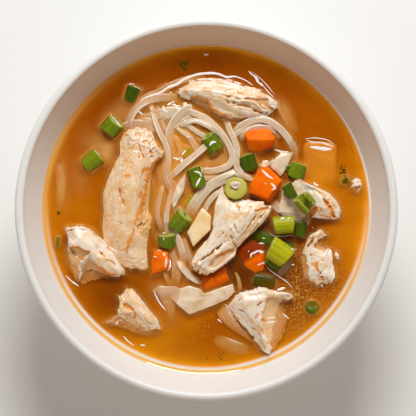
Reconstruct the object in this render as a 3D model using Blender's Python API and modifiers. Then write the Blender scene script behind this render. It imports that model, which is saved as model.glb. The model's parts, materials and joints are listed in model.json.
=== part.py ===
"""Chicken noodle soup in its glazed bowl, seen whole: bowl, broth, noodles and every larger piece.

The bowl stands on its foot ring with the origin at the middle of the foot. +Z is up. The heap of
noodles and the broth are cut round the pieces that float in them, with a small gap on every side.
"""
import bmesh
import bpy
from math import atan2, cos, hypot, radians, sin
from mathutils import Matrix, Vector
from mathutils.geometry import delaunay_2d_cdt

MM = 0.001
GAP = 0.4 * MM                    # clearance between a piece and the pocket it lies in
TURN_STEPS = 60                   # facets round the bowl and the broth

# Driving dimensions of the bowl, in millimetres.
BOWL_RADIUS = 85.0
BOWL_HEIGHT = 72.0
LIP_WIDTH = 4.0
FOOT_RADIUS = 37.0
FOOT_WIDTH = 5.0
FOOT_DEPTH = 3.0
FLOOR_HEIGHT = 8.0
FLOOR_RADIUS = 20.0
WALL_CURVE = 0.42                 # how soon the inner wall steepens; 1 would be a cone
WALL_THICKNESS = 4.0
BROTH_LEVEL = 54.0
WALL_HEIGHTS = (9.5, 13.0, 19.0, 27.0, 36.0, 45.0, BROTH_LEVEL, 62.0)

# Colours of the finishes.
GLAZE = (0.80, 0.79, 0.76)
BROTH = (0.52, 0.22, 0.03)
NOODLE = (0.78, 0.70, 0.58)
CHICKEN = (0.82, 0.70, 0.58)
CARROT = (0.85, 0.24, 0.02)
ONION = (0.24, 0.42, 0.03)
SLICE = (0.80, 0.76, 0.70)
POTATO = (0.88, 0.68, 0.36)


def clear_scene():
    for obj in list(bpy.data.objects):
        bpy.data.objects.remove(obj, do_unlink=True)


def new_collection(name):
    collection = bpy.data.collections.new(name)
    bpy.context.scene.collection.children.link(collection)
    return collection


def finish(name, colour, roughness):
    material = bpy.data.materials.new(name)
    material.use_nodes = True
    shader = material.node_tree.nodes["Principled BSDF"]
    shader.inputs["Base Color"].default_value = (*colour, 1.0)
    shader.inputs["Roughness"].default_value = roughness
    shader.inputs["Metallic"].default_value = 0.0
    material.diffuse_color = (*colour, 1.0)
    return material


def new_object(name, mesh, collection, material=None):
    obj = bpy.data.objects.new(name, mesh)
    collection.objects.link(obj)
    if material:
        mesh.materials.append(material)
    return obj


def as_cutter(obj):
    obj.hide_render = True
    obj.display_type = "WIRE"
    return obj


def mesh_of(bm, name):
    mesh = bpy.data.meshes.new(name)
    bm.to_mesh(mesh)
    bm.free()
    return mesh


def cut(obj, cutters):
    for cutter in cutters:
        boolean = obj.modifiers.new("pocket_" + cutter.name, "BOOLEAN")
        boolean.operation = "DIFFERENCE"
        boolean.solver = "EXACT"
        boolean.object = cutter


# ---------------------------------------------------------------- bowl and broth

def arc(centre, radius, start, end, count):
    """Points on an arc of the profile, angles in degrees, in (radius, height)."""
    points = []
    for i in range(count + 1):
        angle = radians(start + (end - start) * i / count)
        points.append((centre[0] + radius * cos(angle), centre[1] + radius * sin(angle)))
    return points


def wall_radius(height):
    """Radius of the bowl's inside at a height: flat floor, then a curve that steepens to the lip."""
    lip_radius = BOWL_RADIUS - LIP_WIDTH
    lip_height = BOWL_HEIGHT - LIP_WIDTH / 2
    share = (height - FLOOR_HEIGHT) / (lip_height - FLOOR_HEIGHT)
    return FLOOR_RADIUS + (lip_radius - FLOOR_RADIUS) * share ** WALL_CURVE


def turned(name, profile, collection, material):
    """A solid of revolution. The profile runs down its outer side, from the axis to the axis."""
    mesh = bpy.data.meshes.new(name)
    points = [(r * MM, 0.0, z * MM) for r, z in profile]
    edges = [(i, i + 1) for i in range(len(points) - 1)]
    mesh.from_pydata(points, edges, [])
    obj = new_object(name, mesh, collection, material)
    screw = obj.modifiers.new("turn", "SCREW")
    screw.axis = "Z"
    screw.steps = TURN_STEPS
    screw.render_steps = TURN_STEPS
    screw.use_merge_vertices = True
    screw.merge_threshold = 0.00005
    screw.use_smooth_shade = True
    return obj


def make_bowl(collection):
    lip_radius = LIP_WIDTH / 2
    lip_centre = (BOWL_RADIUS - lip_radius, BOWL_HEIGHT - lip_radius)
    foot_inside = FOOT_RADIUS - FOOT_WIDTH
    profile = [(0.0, FLOOR_HEIGHT), (FLOOR_RADIUS, FLOOR_HEIGHT)]
    profile += [(wall_radius(height), height) for height in WALL_HEIGHTS]
    profile += arc(lip_centre, lip_radius, 180, 0, 6)
    for height in (63.0, 52.0, 42.0, 32.0, 23.0, 15.0, 9.5):
        profile.append((wall_radius(height + 1.5) + WALL_THICKNESS, height))
    profile += [
        (FOOT_RADIUS + 0.8, 5.5),
        (FOOT_RADIUS, 1.0),
        (FOOT_RADIUS - 1.0, 0.0),
        (foot_inside, 0.0),
        (foot_inside - 1.0, FOOT_DEPTH),
        (0.0, FOOT_DEPTH),
    ]
    return turned("bowl", profile, collection, finish("glazed_ceramic", GLAZE, 0.25))


def make_broth(collection):
    """The liquid up to its level, a small gap off the bowl's inside."""
    side = [(wall_radius(height) - GAP / MM, height) for height in WALL_HEIGHTS if height <= BROTH_LEVEL]
    underside = FLOOR_HEIGHT + GAP / MM
    profile = [(0.0, BROTH_LEVEL)] + side[::-1] + [(FLOOR_RADIUS, underside), (0.0, underside)]
    return turned("broth", profile, collection, finish("broth", BROTH, 0.12))


# ---------------------------------------------------------------- heap of noodles

def make_noodle_nest(collection):
    """One lumpy solid out to the outline of the heap, its crown just above the broth."""
    centre = Vector((1.0, 12.0, BROTH_LEVEL))
    half_width, half_length, depth, crown = 40.0, 47.0, 32.0, 1.3
    bm = bmesh.new()
    bmesh.ops.create_uvsphere(bm, u_segments=28, v_segments=12, radius=1.0)
    for vert in bm.verts:
        x, y, z = vert.co
        turn = atan2(y, x)
        lump = 1 + 0.05 * sin(3 * turn + 0.6) + 0.04 * sin(5 * turn + 2.0) + 0.025 * sin(9 * turn)
        reach = min(1.0, hypot(x, y)) ** 0.55 if z > 0 else hypot(x, y)
        spread = reach / max(hypot(x, y), 1e-6)
        rise = crown + 0.5 * sin(4 * x + 1.0) * cos(5 * y) if z > 0 else depth
        vert.co.x = x * spread * lump * half_width
        vert.co.y = y * spread * lump * half_length
        vert.co.z = z * rise
    bmesh.ops.scale(bm, vec=(MM, MM, MM), verts=bm.verts)
    bmesh.ops.translate(bm, vec=centre * MM, verts=bm.verts)
    return new_object("noodle_nest", mesh_of(bm, "noodle_nest"), collection,
                      finish("rice_noodle", NOODLE, 0.35))


# ---------------------------------------------------------------- cut and torn pieces

def offset_outline(outline, distance):
    """The outline moved outwards by a distance, corner by corner."""
    moved = []
    for i, (x, y) in enumerate(outline):
        before = Vector(outline[i - 1])
        here = Vector((x, y))
        after = Vector(outline[(i + 1) % len(outline)])
        along_in = (here - before).normalized()
        along_out = (after - here).normalized()
        normal_in = Vector((along_in.y, -along_in.x))
        normal_out = Vector((along_out.y, -along_out.x))
        middle = (normal_in + normal_out).normalized()
        stretch = min(2.0, 1 / max(0.2, middle.dot(normal_in)))
        moved.append(tuple(here + middle * distance * stretch))
    return moved


def counter_clockwise(outline):
    area = 0.0
    for i, point in enumerate(outline):
        before = outline[i - 1]
        area += before[0] * point[1] - point[0] * before[1]
    return outline if area > 0 else outline[::-1]


def slab_mesh(name, rim, crest, base, taper):
    """A closed lump: its upper face goes through rim and crest points, its sides narrow to a base.

    Rim and crest points are (x, y, height above the broth), base is the height of the flat
    underside, and taper is how far the sides draw in on the way down to it.
    """
    rim = counter_clockwise(rim)
    flat = [Vector(point[:2]) for point in rim + crest]
    tops = [point[2] for point in rim + crest]
    corners, _, faces, origins, _, _ = delaunay_2d_cdt(flat, [], [list(range(len(rim)))], 1, 1e-6)
    bm = bmesh.new()
    upper = []
    for corner, origin in zip(corners, origins):
        upper.append(bm.verts.new((corner.x, corner.y, tops[origin[0]])))
    for face in faces:
        bm.faces.new([upper[i] for i in face])
    under = []
    for x, y in offset_outline([point[:2] for point in rim], -taper):
        under.append(bm.verts.new((x, y, base)))
    for i in range(len(rim)):
        after = (i + 1) % len(rim)
        bm.faces.new((upper[i], under[i], under[after], upper[after]))
    bm.faces.new(under[::-1])
    bmesh.ops.recalc_face_normals(bm, faces=bm.faces)
    bmesh.ops.translate(bm, vec=(0, 0, BROTH_LEVEL), verts=bm.verts)
    bmesh.ops.scale(bm, vec=(MM, MM, MM), verts=bm.verts)
    return mesh_of(bm, name)


def make_slab(name, rim, crest, base, material, parts, cutters, taper=0.7):
    """A piece and its pocket, a straight well a little wider and deeper than the piece."""
    obj = new_object(name, slab_mesh(name, rim, crest, base, taper), parts, material)
    gap = GAP / MM
    outline = counter_clockwise([point[:2] for point in rim])
    well = [(x, y, 15.0) for x, y in offset_outline(outline, gap)]
    pocket = new_object(name + "_pocket", slab_mesh(name + "_pocket", well, [], base - gap, 0.0), cutters)
    return obj, as_cutter(pocket)


def make_tube(name, centre, length, radius, flatten, heading, tilt, material, parts, cutters):
    """A cut length of onion leaf: a short thick-walled tube, pressed oval and laid on its side.

    heading turns its axis in plan and tilt lifts the axis's far end, both in degrees.
    """
    wall = 0.42 * radius
    half = length / 2
    pose = (
        Matrix.Translation(Vector((centre[0], centre[1], BROTH_LEVEL + centre[2])) * MM)
        @ Matrix.Rotation(radians(heading), 4, "Z")
        @ Matrix.Rotation(radians(90 - tilt), 4, "Y")
    )
    mesh = bpy.data.meshes.new(name)
    ring = [(radius, half), (radius, -half), (radius - wall, -half), (radius - wall, half)]
    mesh.from_pydata([(r * MM, 0.0, z * MM) for r, z in ring], [(0, 1), (1, 2), (2, 3), (3, 0)], [])
    obj = new_object(name, mesh, parts, material)
    screw = obj.modifiers.new("turn", "SCREW")
    screw.steps = 12
    screw.render_steps = 12
    screw.use_merge_vertices = True
    screw.merge_threshold = 0.00005
    screw.use_smooth_shade = True
    obj.matrix_world = pose @ Matrix.Diagonal((flatten, 1.0, 1.0, 1.0))
    gap = GAP / MM
    bm = bmesh.new()
    bmesh.ops.create_cone(bm, cap_ends=True, segments=12, radius1=(radius + gap) * MM,
                          radius2=(radius + gap) * MM, depth=(length + 2 * gap) * MM)
    pocket = new_object(name + "_pocket", mesh_of(bm, name + "_pocket"), cutters)
    pocket.matrix_world = pose @ Matrix.Diagonal((flatten + gap / radius, 1.0, 1.0, 1.0))
    return obj, as_cutter(pocket)


# ---------------------------------------------------------------- the pieces

CHICKEN_PIECES = {
    # A long slice at the back, its grain split open towards the right-hand tip.
    "chicken_back_slice": dict(
        rim=[(-13, 53.5, 2), (-11.5, 56, 2.5), (-7, 58.5, 3), (4, 59, 3.5), (11, 58, 3), (17, 56, 3),
             (23, 54, 3), (27.5, 51.5, 3), (31.5, 48.5, 3), (32, 47, 2.5), (28.5, 42, 2), (25, 41.5, 2),
             (27.5, 39.5, 1.5), (16.5, 38.5, 1.5), (9.5, 39, 1.5), (3.5, 42, 1.5), (-1.5, 46, 2),
             (-6.5, 48.5, 2), (-12, 50.5, 1.5)],
        crest=[(-7, 54, 5.5), (2, 54, 6.5), (2, 49.5, 5.5), (11, 51, 7), (12, 45.5, 5.5), (20, 48, 6.5),
               (20, 43, 4.5), (26, 46.5, 5)],
        base=-7),
    # The big slab on the left, lying along the bowl with a torn upper end.
    "chicken_large_slab": dict(
        rim=[(-39, 30, 2.5), (-37, 34.5, 3), (-31.5, 36.5, 3.5), (-27, 36, 3.5), (-24.5, 34, 4),
             (-21.5, 27.5, 4.5), (-18.5, 26, 4), (-20, 23.5, 4), (-22.5, 21.5, 3.5), (-24.5, 17, 3),
             (-25, 11, 2), (-26, 0.5, 2), (-24.5, -4.5, 2), (-26, -12, 2), (-26.5, -18, 1.8),
             (-26, -26.5, 1.2), (-28.5, -27.5, 1), (-32.5, -26.5, 1), (-37, -22, 1), (-41.2, -16.5, 1),
             (-45, -9, 1), (-46.5, -1, 1.2), (-46.5, 6.5, 1.5), (-44.5, 13, 2), (-41.5, 20, 2),
             (-39, 24.5, 2)],
        crest=[(-32, 31, 6), (-27, 28.5, 6.5), (-35, 22, 6), (-29, 18, 7), (-38, 12, 6.3),
               (-31, 8, 6.8), (-40, 2, 5.6), (-32, -2, 6.2), (-38.5, -8, 5), (-31, -12, 5.2),
               (-34, -18, 4), (-30, -22, 3)],
        base=-9),
    # A folded chunk at the left: a lit upper face, and a shaded face that falls to the lower left.
    "chicken_left_chunk": dict(
        rim=[(-63, -9, 6), (-60.5, -8, 6.5), (-55, -8, 6), (-51.5, -9, 5.5), (-46.5, -13.5, 4.5),
             (-42.6, -18.5, 4), (-39.5, -23.5, 3), (-36.6, -27.6, 2), (-37, -29.5, 1.5),
             (-39.5, -30.5, 1.2), (-47, -30.5, 0.6), (-51.5, -31.5, 0.6), (-55.5, -33.5, 1),
             (-59, -32, 0.6), (-61.5, -26.5, 0.6), (-62.5, -19, 1.5), (-62, -13.5, 4)],
        crest=[(-57, -13, 8), (-60, -15.5, 7.2), (-51, -17, 7.6), (-55.5, -18.8, 7.2), (-45, -22.5, 6.5),
               (-49.5, -21, 7), (-40.5, -27, 4.5), (-44.5, -27.5, 5), (-53.5, -24, 4.2)],
        base=-8),
    # A low chunk at the front left, its front edge sinking under the broth.
    "chicken_front_chunk": dict(
        rim=[(-34, -35, 1.5), (-30.5, -38.5, 2.5), (-26, -44.5, 2.5), (-21.5, -50, 2), (-20.5, -52.5, 1),
             (-22, -55.5, -0.3), (-25.5, -57, -0.6), (-30.5, -56.5, -0.6), (-39, -53, -0.4),
             (-46, -51, 0.3), (-40, -48, 1.2), (-38.5, -43.5, 2), (-39.5, -39, 1.2), (-37, -39, 1.5),
             (-36, -36, 1.5)],
        crest=[(-34.5, -40, 4), (-31.5, -45, 5), (-27, -49.5, 4.6), (-25, -53, 2.6), (-36.5, -47, 2.6),
               (-31, -51.5, 1.8)],
        base=-7),
    # A folded piece at the front right: a bright flap over fibres that run down to a point.
    "chicken_folded_piece": dict(
        rim=[(11, -42, 4), (14, -37.8, 6), (20.5, -36.5, 6.5), (25, -35, 6.5), (30, -36.5, 6),
             (34.5, -37, 5.5), (38.5, -38, 4.5), (39, -39.4, 4), (36, -40.5, 3), (34, -42.5, 2),
             (34.5, -45, 1.5), (37, -48.5, 0.8), (34.5, -56.5, 0.6), (30.5, -62.5, 1), (27.5, -65, 2),
             (26, -64.5, 2), (21.5, -60, 0.8), (15.5, -56.5, 0.6), (10, -53, 0.6), (6, -49, 0.6),
             (4.5, -46, 0.6), (7.5, -43.6, 1.2)],
        crest=[(17, -41, 8.2), (24, -40, 8.6), (29, -40, 6.8), (12.5, -45, 3.6), (19, -46.5, 7.6),
               (25.5, -45.5, 6.5), (24, -53, 5.8), (27, -60, 4), (31, -49, 3), (18, -53, 3)],
        base=-7),
    # Shredded meat fanned over the middle of the heap, ending in two legs at the lower left.
    "chicken_shredded_fan": dict(
        rim=[(7.2, 11.5, 5), (8, 7.2, 5.4), (10.2, 4.7, 6), (12.5, 3.6, 6), (14, 3.9, 6), (16.5, 5, 6.5),
             (19, 3.4, 6.5), (22, 3.6, 6.5), (26, 2.2, 6), (29, 0.6, 5.5), (28.5, -1.5, 5), (26, -5, 5),
             (21.5, -10, 5), (17, -14, 5), (13.5, -17.5, 5), (13, -21, 5), (7, -26, 5), (0.5, -29.5, 4.8),
             (-2, -28.5, 5), (-6, -27, 5), (-7, -24, 5), (-4.5, -19, 5.4), (0, -13.5, 5.4), (2.5, -9, 5.2),
             (3, -3, 5.2), (3.5, 3, 5)],
        crest=[(9, 1, 8.6), (18, -1.5, 9), (24, -1, 7.5), (7, -6, 8.6), (13, -8, 9.4), (19, -8, 7),
               (5, -14, 8.2), (10.5, -16, 7.4), (0, -21, 7.6), (5, -22.5, 7), (-3, -25, 7)],
        base=3.5),
    # A slice at the right, low on its left side where onion pieces lie on it.
    "chicken_right_slice": dict(
        rim=[(33.8, 8.4, 1.6), (39, 12, 2), (41, 14, 2.6), (45.5, 11.5, 4), (51, 9.5, 4), (55.5, 7, 4),
             (59, 3, 3.5), (60.5, -1, 2.5), (59.5, -4.5, 1), (53.5, -4.5, 2), (46, -3.5, 1.5),
             (42, -4.2, 1), (40.3, -2.3, 1), (32, -1.9, 1), (32.5, 2, 1.4)],
        crest=[(38, 6, 2), (43, 8, 2.2), (45, 2, 2), (51.5, 5, 5.4), (54.5, 1, 6),
               (51, 0, 4.4), (56, -1.5, 4.6)],
        base=-6),
    # A crumbly piece at the right with a torn flake above it.
    "chicken_crumbly_piece": dict(
        rim=[(45.8, -12.6, 1), (50, -9.5, 2.5), (54.5, -11.5, 2), (51.5, -13.5, 1.6), (52.5, -16, 1.8),
             (56, -19, 2.4), (57, -25.5, 2.4), (58, -30.5, 2), (56.5, -33, 1.4), (50.5, -33.5, 1),
             (45.5, -32, 0.5), (43, -26.5, 0.5), (43.5, -19, 0.6)],
        crest=[(49, -12, 3.5), (49, -18, 4), (53, -22, 5), (49, -26, 4.4), (53, -29.5, 4.6)],
        base=-6),
    # Two small bits by the right-hand wall.
    "chicken_bit_1": dict(
        rim=[(65, 13, 1), (67, 14, 1.5), (69, 12, 1.5), (69.8, 9.5, 1), (68.2, 6.5, 0.8), (66, 8.5, 0.8)],
        crest=[(67.5, 10.5, 2.6)],
        base=-3),
    "chicken_bit_2": dict(
        rim=[(57.2, -20, 0.8), (58.2, -18.5, 1), (60, -21.5, 1), (60.2, -23.5, 0.8), (58.4, -23, 0.8)],
        crest=[(58.8, -21.2, 2)],
        base=-2.5),
}

CARROT_PIECES = {
    # Chunks of carrot, each with a ridge between the face that looks up and the one that looks forward.
    "carrot_1": dict(
        rim=[(17, 34, 4.2), (19.5, 35.5, 4.4), (28, 36, 4.4), (31, 32, 4.4), (30.5, 28.5, 1.5),
             (24, 25.5, 0.8), (19, 25.5, 0.8)],
        crest=[(18.2, 31, 6), (29.8, 31, 6)],
        base=-6),
    "carrot_2": dict(
        rim=[(24.2, 19.2, 6), (28, 19, 6.4), (34, 13, 6.4), (32.6, 9, 2), (28.2, 3, 2), (19.3, 7.5, 5),
             (19.3, 10.8, 6)],
        crest=[(24.5, 17.5, 7), (32.8, 11.8, 7.2), (27.4, 5, 6)],
        base=-5),
    "carrot_3": dict(
        rim=[(20.5, -14.6, 1.6), (25, -17.4, 1.6), (25.4, -23.5, 1), (25, -26.5, 0.8), (21.5, -28, 0.6),
             (17.5, -25, 1), (14, -18, 1.4)],
        crest=[(20.5, -18.5, 2.9), (23.4, -23, 3)],
        base=-7),
    "carrot_4": dict(
        rim=[(-3, -24.5, 2.4), (8, -22.5, 2.4), (10, -31.4, 1.8), (9.6, -32.6, 0.8), (-0.5, -36.5, 0.8),
             (-1, -35, 1.8)],
        crest=[(1, -33, 2.8), (8.8, -30, 2.8)],
        base=-6),
    "carrot_5": dict(
        rim=[(-23.5, -18.4, 2.4), (-17.5, -19, 2.8), (-16, -26.5, 1.5), (-24.5, -29.4, 1),
             (-24.9, -23.5, 1.5)],
        crest=[(-22, -21, 3.2), (-18.2, -24, 3)],
        base=-6),
}

SLICE_PIECES = {
    # Thin pale slices: a large sheet at the front, a pointed one by the carrots, two slivers.
    "slice_1": dict(
        rim=[(-18, -36, -0.6), (-14.5, -36, -0.4), (-8, -34.2, 1), (-2.4, -35.5, 1.6), (-1, -37.6, 1.6),
             (10.4, -33.6, 2), (12, -33, 2), (13, -37, 2), (10, -40.5, 1.6), (1.5, -44, 1.4),
             (-8, -47.5, 0.8), (-13, -43, 0.2), (-16.5, -40.5, -0.6)],
        crest=[(-4, -39.5, 1.8), (5, -38, 2.2)],
        base=-1.8),
    "slice_2": dict(
        rim=[(29.5, 21.5, 4.8), (33, 24, 5), (39, 25, 5.2), (35.6, 19.4, 5.2), (33.8, 16.4, 5)],
        crest=[(35, 21.5, 5.6)],
        base=3.9),
    "slice_3": dict(
        rim=[(-9.2, 16.5, 2.2), (-10, 8.5, 2), (-13, 2.5, 1.6), (-14.8, -1, 1.2), (-16, 3, 1.4),
             (-13.5, 10.5, 1.8)],
        crest=[(-12.4, 7, 2.6)],
        base=-1.5),
    "slice_4": dict(
        rim=[(-11.5, -26.5, 0.8), (-8, -28.5, 1.2), (-4.4, -32, 1.4), (-5, -33.3, 1), (-9, -31, 0.8)],
        crest=[(-7.4, -30.2, 1.8)],
        base=-2),
}

POTATO_PIECE = dict(
    rim=[(-8.8, -10.5, 3.4), (-2, 1, 3.6), (2.2, -3, 4.4), (2, -9, 4.4), (-6, -17, 3.6)],
    crest=[(-7.4, -10.6, 4), (-2, -1.2, 4.2)],
    base=-4)

# Cut lengths of spring onion: centre, length, radius, flattening, heading and tilt of the axis.
ONION_PIECES = [
    dict(centre=(-33.5, 52, -0.6), length=6.4, radius=3.1, flatten=0.8, heading=70, tilt=8),
    dict(centre=(-42.5, 37, 0.2), length=7.2, radius=4.2, flatten=0.85, heading=50, tilt=14),
    dict(centre=(-51, 22, 0.0), length=7.6, radius=3.7, flatten=0.85, heading=38, tilt=14),
    dict(centre=(2.5, 29.5, 1.8), length=8.4, radius=3.4, flatten=0.85, heading=-56, tilt=-14),
    dict(centre=(-4.6, 14.4, 1.6), length=8.6, radius=3.3, flatten=0.85, heading=-72, tilt=-12),
    dict(centre=(13, 9.5, 5.6), length=4.2, radius=5.0, flatten=1.0, heading=0, tilt=88),
    dict(centre=(18.9, 21.2, 0.6), length=6.6, radius=3.6, flatten=0.8, heading=-74, tilt=-8),
    dict(centre=(38.8, 17.6, -0.2), length=7.0, radius=3.3, flatten=0.8, heading=-64, tilt=-8),
    dict(centre=(37.2, 8.2, 5.4), length=6.6, radius=2.4, flatten=0.8, heading=-62, tilt=-4),
    dict(centre=(44.2, 3.0, 7.1), length=7.6, radius=3.9, flatten=0.75, heading=-46, tilt=-10),
    dict(centre=(34.7, -7.0, 4.4), length=8.6, radius=3.9, flatten=0.75, heading=4, tilt=0),
    dict(centre=(42.2, -9.0, 0.4), length=6.8, radius=2.6, flatten=0.9, heading=86, tilt=0),
    dict(centre=(32.4, -19.4, 4.9), length=9.0, radius=4.6, flatten=0.75, heading=-34, tilt=-8),
    dict(centre=(26.2, -13.8, -1.4), length=8.4, radius=2.2, flatten=0.8, heading=-18, tilt=0),
    dict(centre=(-11.6, -5.4, 1.4), length=8.2, radius=4.1, flatten=0.85, heading=55, tilt=22),
    dict(centre=(-17.8, -13.9, 0.6), length=5.6, radius=3.9, flatten=0.8, heading=88, tilt=20),
]

# What each body of food or liquid is cut round.
NEST_POCKETS = [
    "chicken_back_slice", "chicken_large_slab", "chicken_right_slice", "carrot_1", "carrot_2",
    "carrot_3", "carrot_4", "carrot_5", "potato_piece", "slice_1", "slice_3", "slice_4", "onion_2",
    "onion_4", "onion_5", "onion_7", "onion_8", "onion_12", "onion_14", "onion_15", "onion_16",
]
BROTH_POCKETS = [
    "chicken_back_slice", "chicken_large_slab", "chicken_left_chunk", "chicken_front_chunk",
    "chicken_folded_piece", "chicken_right_slice", "chicken_crumbly_piece", "chicken_bit_1",
    "chicken_bit_2", "carrot_3", "carrot_4", "carrot_5", "slice_1", "slice_4", "onion_1", "onion_2",
    "onion_3", "onion_8", "onion_12", "onion_14",
]


def nest_pocket(nest, cutters):
    """A copy of the heap, grown by the gap, that hollows the broth."""
    mesh = nest.data.copy()
    pocket = new_object("noodle_nest_pocket", mesh, cutters)
    centre = Vector((1.0, 12.0, BROTH_LEVEL)) * MM
    for vert in mesh.vertices:
        away = vert.co - centre
        vert.co = centre + away + away.normalized() * GAP
    return as_cutter(pocket)


def main():
    clear_scene()
    parts = new_collection("chicken_noodle_soup")
    cutters = new_collection("cutters")
    make_bowl(parts)
    broth = make_broth(parts)
    nest = make_noodle_nest(parts)
    pockets = {}
    meat = finish("cooked_chicken", CHICKEN, 0.45)
    for name, shape in CHICKEN_PIECES.items():
        _, pockets[name] = make_slab(name, material=meat, parts=parts, cutters=cutters, **shape)
    root = finish("cooked_carrot", CARROT, 0.3)
    for name, shape in CARROT_PIECES.items():
        _, pockets[name] = make_slab(name, material=root, parts=parts, cutters=cutters, **shape)
    pale = finish("pale_slice", SLICE, 0.3)
    for name, shape in SLICE_PIECES.items():
        _, pockets[name] = make_slab(name, material=pale, parts=parts, cutters=cutters, **shape)
    _, pockets["potato_piece"] = make_slab("potato_piece", material=finish("potato", POTATO, 0.35),
                                           parts=parts, cutters=cutters, **POTATO_PIECE)
    leaf = finish("spring_onion", ONION, 0.3)
    for number, shape in enumerate(ONION_PIECES, start=1):
        name = f"onion_{number}"
        _, pockets[name] = make_tube(name, material=leaf, parts=parts, cutters=cutters, **shape)
    cut(nest, [pockets[name] for name in NEST_POCKETS])
    cut(broth, [nest_pocket(nest, cutters)] + [pockets[name] for name in BROTH_POCKETS])


main()
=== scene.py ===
import json
from math import cos, hypot, pi, radians, sin

import bmesh
import bpy
import numpy as np
from mathutils import Matrix, Vector, kdtree
from mathutils.bvhtree import BVHTree

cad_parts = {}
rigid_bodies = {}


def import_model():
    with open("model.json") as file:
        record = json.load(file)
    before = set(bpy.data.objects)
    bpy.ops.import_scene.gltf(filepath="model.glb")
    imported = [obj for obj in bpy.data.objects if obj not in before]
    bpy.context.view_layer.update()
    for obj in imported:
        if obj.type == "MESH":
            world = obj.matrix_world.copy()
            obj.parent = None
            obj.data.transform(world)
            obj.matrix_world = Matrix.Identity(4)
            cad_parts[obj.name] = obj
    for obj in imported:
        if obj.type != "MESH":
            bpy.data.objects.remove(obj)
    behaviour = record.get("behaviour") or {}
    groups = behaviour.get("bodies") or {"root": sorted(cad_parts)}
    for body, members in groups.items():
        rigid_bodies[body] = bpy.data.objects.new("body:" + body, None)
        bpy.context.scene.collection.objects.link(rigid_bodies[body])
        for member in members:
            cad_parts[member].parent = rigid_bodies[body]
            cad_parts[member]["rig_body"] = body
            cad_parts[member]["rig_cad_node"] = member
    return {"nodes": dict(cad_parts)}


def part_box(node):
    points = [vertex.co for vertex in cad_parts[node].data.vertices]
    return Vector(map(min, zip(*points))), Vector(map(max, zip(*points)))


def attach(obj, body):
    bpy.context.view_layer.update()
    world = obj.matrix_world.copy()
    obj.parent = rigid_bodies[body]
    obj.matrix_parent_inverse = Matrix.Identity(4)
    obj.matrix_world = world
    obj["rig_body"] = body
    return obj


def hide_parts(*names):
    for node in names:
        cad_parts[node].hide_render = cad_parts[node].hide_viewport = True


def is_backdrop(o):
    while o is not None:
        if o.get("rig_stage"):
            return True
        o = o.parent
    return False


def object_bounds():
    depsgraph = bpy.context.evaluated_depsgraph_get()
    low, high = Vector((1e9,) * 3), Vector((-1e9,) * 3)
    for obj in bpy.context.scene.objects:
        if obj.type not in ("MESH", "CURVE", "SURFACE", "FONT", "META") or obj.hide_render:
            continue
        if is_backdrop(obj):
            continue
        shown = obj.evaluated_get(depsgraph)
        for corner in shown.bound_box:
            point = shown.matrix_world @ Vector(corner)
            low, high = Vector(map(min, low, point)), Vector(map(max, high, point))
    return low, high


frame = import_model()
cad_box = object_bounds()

# Camera, window light and table. The bowl is seen from straight above through a long lens. A window
# behind it makes the glints, a soft sky fills the shade, and the sky is dark right over the bowl, so
# that level broth mirrors nothing.
MM = 0.001
bowl_low, bowl_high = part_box("bowl")
BOWL_RADIUS = (bowl_high.x - bowl_low.x) / 2
RIM_HEIGHT = bowl_high.z
BROTH_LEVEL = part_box("broth")[1].z
CAMERA_DISTANCE = 1.2
FRAME_WIDTH = 2 * BOWL_RADIUS * 416 / 384

camera_data = bpy.data.cameras.new("camera")
camera_data.sensor_width = 36.0
camera_data.lens = camera_data.sensor_width * CAMERA_DISTANCE / FRAME_WIDTH
camera_data.clip_start = 0.05
camera_data.clip_end = 20.0
camera = bpy.data.objects.new("camera", camera_data)
camera.location = (0.7 * MM, 0.6 * MM, RIM_HEIGHT + CAMERA_DISTANCE)
bpy.context.scene.collection.objects.link(camera)
bpy.context.scene.camera = camera
bpy.context.scene.view_settings.view_transform = "Standard"


def soft_light(name, heading, elevation, distance, size, radiance, colour=(1, 1, 1)):
    """A rectangular light that faces the bowl; heading 0 is behind the bowl, at +Y."""
    width, height = size
    data = bpy.data.lights.new(name, "AREA")
    data.shape = "RECTANGLE"
    data.size = width
    data.size_y = height
    data.energy = radiance * pi * width * height
    data.color = colour
    light = bpy.data.objects.new(name, data)
    turn, rise = radians(heading), radians(elevation)
    away = Vector((sin(turn) * cos(rise), cos(turn) * cos(rise), sin(rise)))
    target = Vector((0, 0, BROTH_LEVEL))
    light.location = target + away * distance
    light.rotation_mode = "QUATERNION"
    light.rotation_quaternion = away.to_track_quat("Z", "Y")
    light.visible_camera = False
    bpy.context.scene.collection.objects.link(light)


soft_light("window", 4, 46, 1.0, (0.38, 0.34), 21.0, (1.0, 0.99, 0.97))
soft_light("card_front", 180, 30, 1.2, (0.8, 0.4), 1.5, (1.0, 0.50, 0.18))

world = bpy.data.worlds.new("studio")
world.use_nodes = True
sky = world.node_tree
sky_place = sky.nodes.new("ShaderNodeTexCoord")
sky_axes = sky.nodes.new("ShaderNodeSeparateXYZ")
sky_glow = sky.nodes.new("ShaderNodeValToRGB")
sky_lean = sky.nodes.new("ShaderNodeMapRange")
sky_power = sky.nodes.new("ShaderNodeMath")
sky_power.operation = "MULTIPLY"
for position, brightness in ((0.30, 0.42), (0.72, 0.50), (0.92, 0.04)):
    stop = sky_glow.color_ramp.elements.new(position)
    stop.color = (brightness, brightness, brightness, 1.0)
sky_glow.color_ramp.elements[0].color = (0.42, 0.42, 0.42, 1.0)
sky_glow.color_ramp.elements[-1].color = (0.02, 0.02, 0.02, 1.0)
sky_lean.inputs["From Min"].default_value = -1.0
sky_lean.inputs["To Min"].default_value = 0.85
sky_lean.inputs["To Max"].default_value = 1.15
sky.links.new(sky_place.outputs["Generated"], sky_axes.inputs[0])
sky.links.new(sky_axes.outputs["Z"], sky_glow.inputs[0])
sky.links.new(sky_axes.outputs["Y"], sky_lean.inputs["Value"])
sky.links.new(sky_glow.outputs["Color"], sky_power.inputs[0])
sky.links.new(sky_lean.outputs[0], sky_power.inputs[1])
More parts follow.
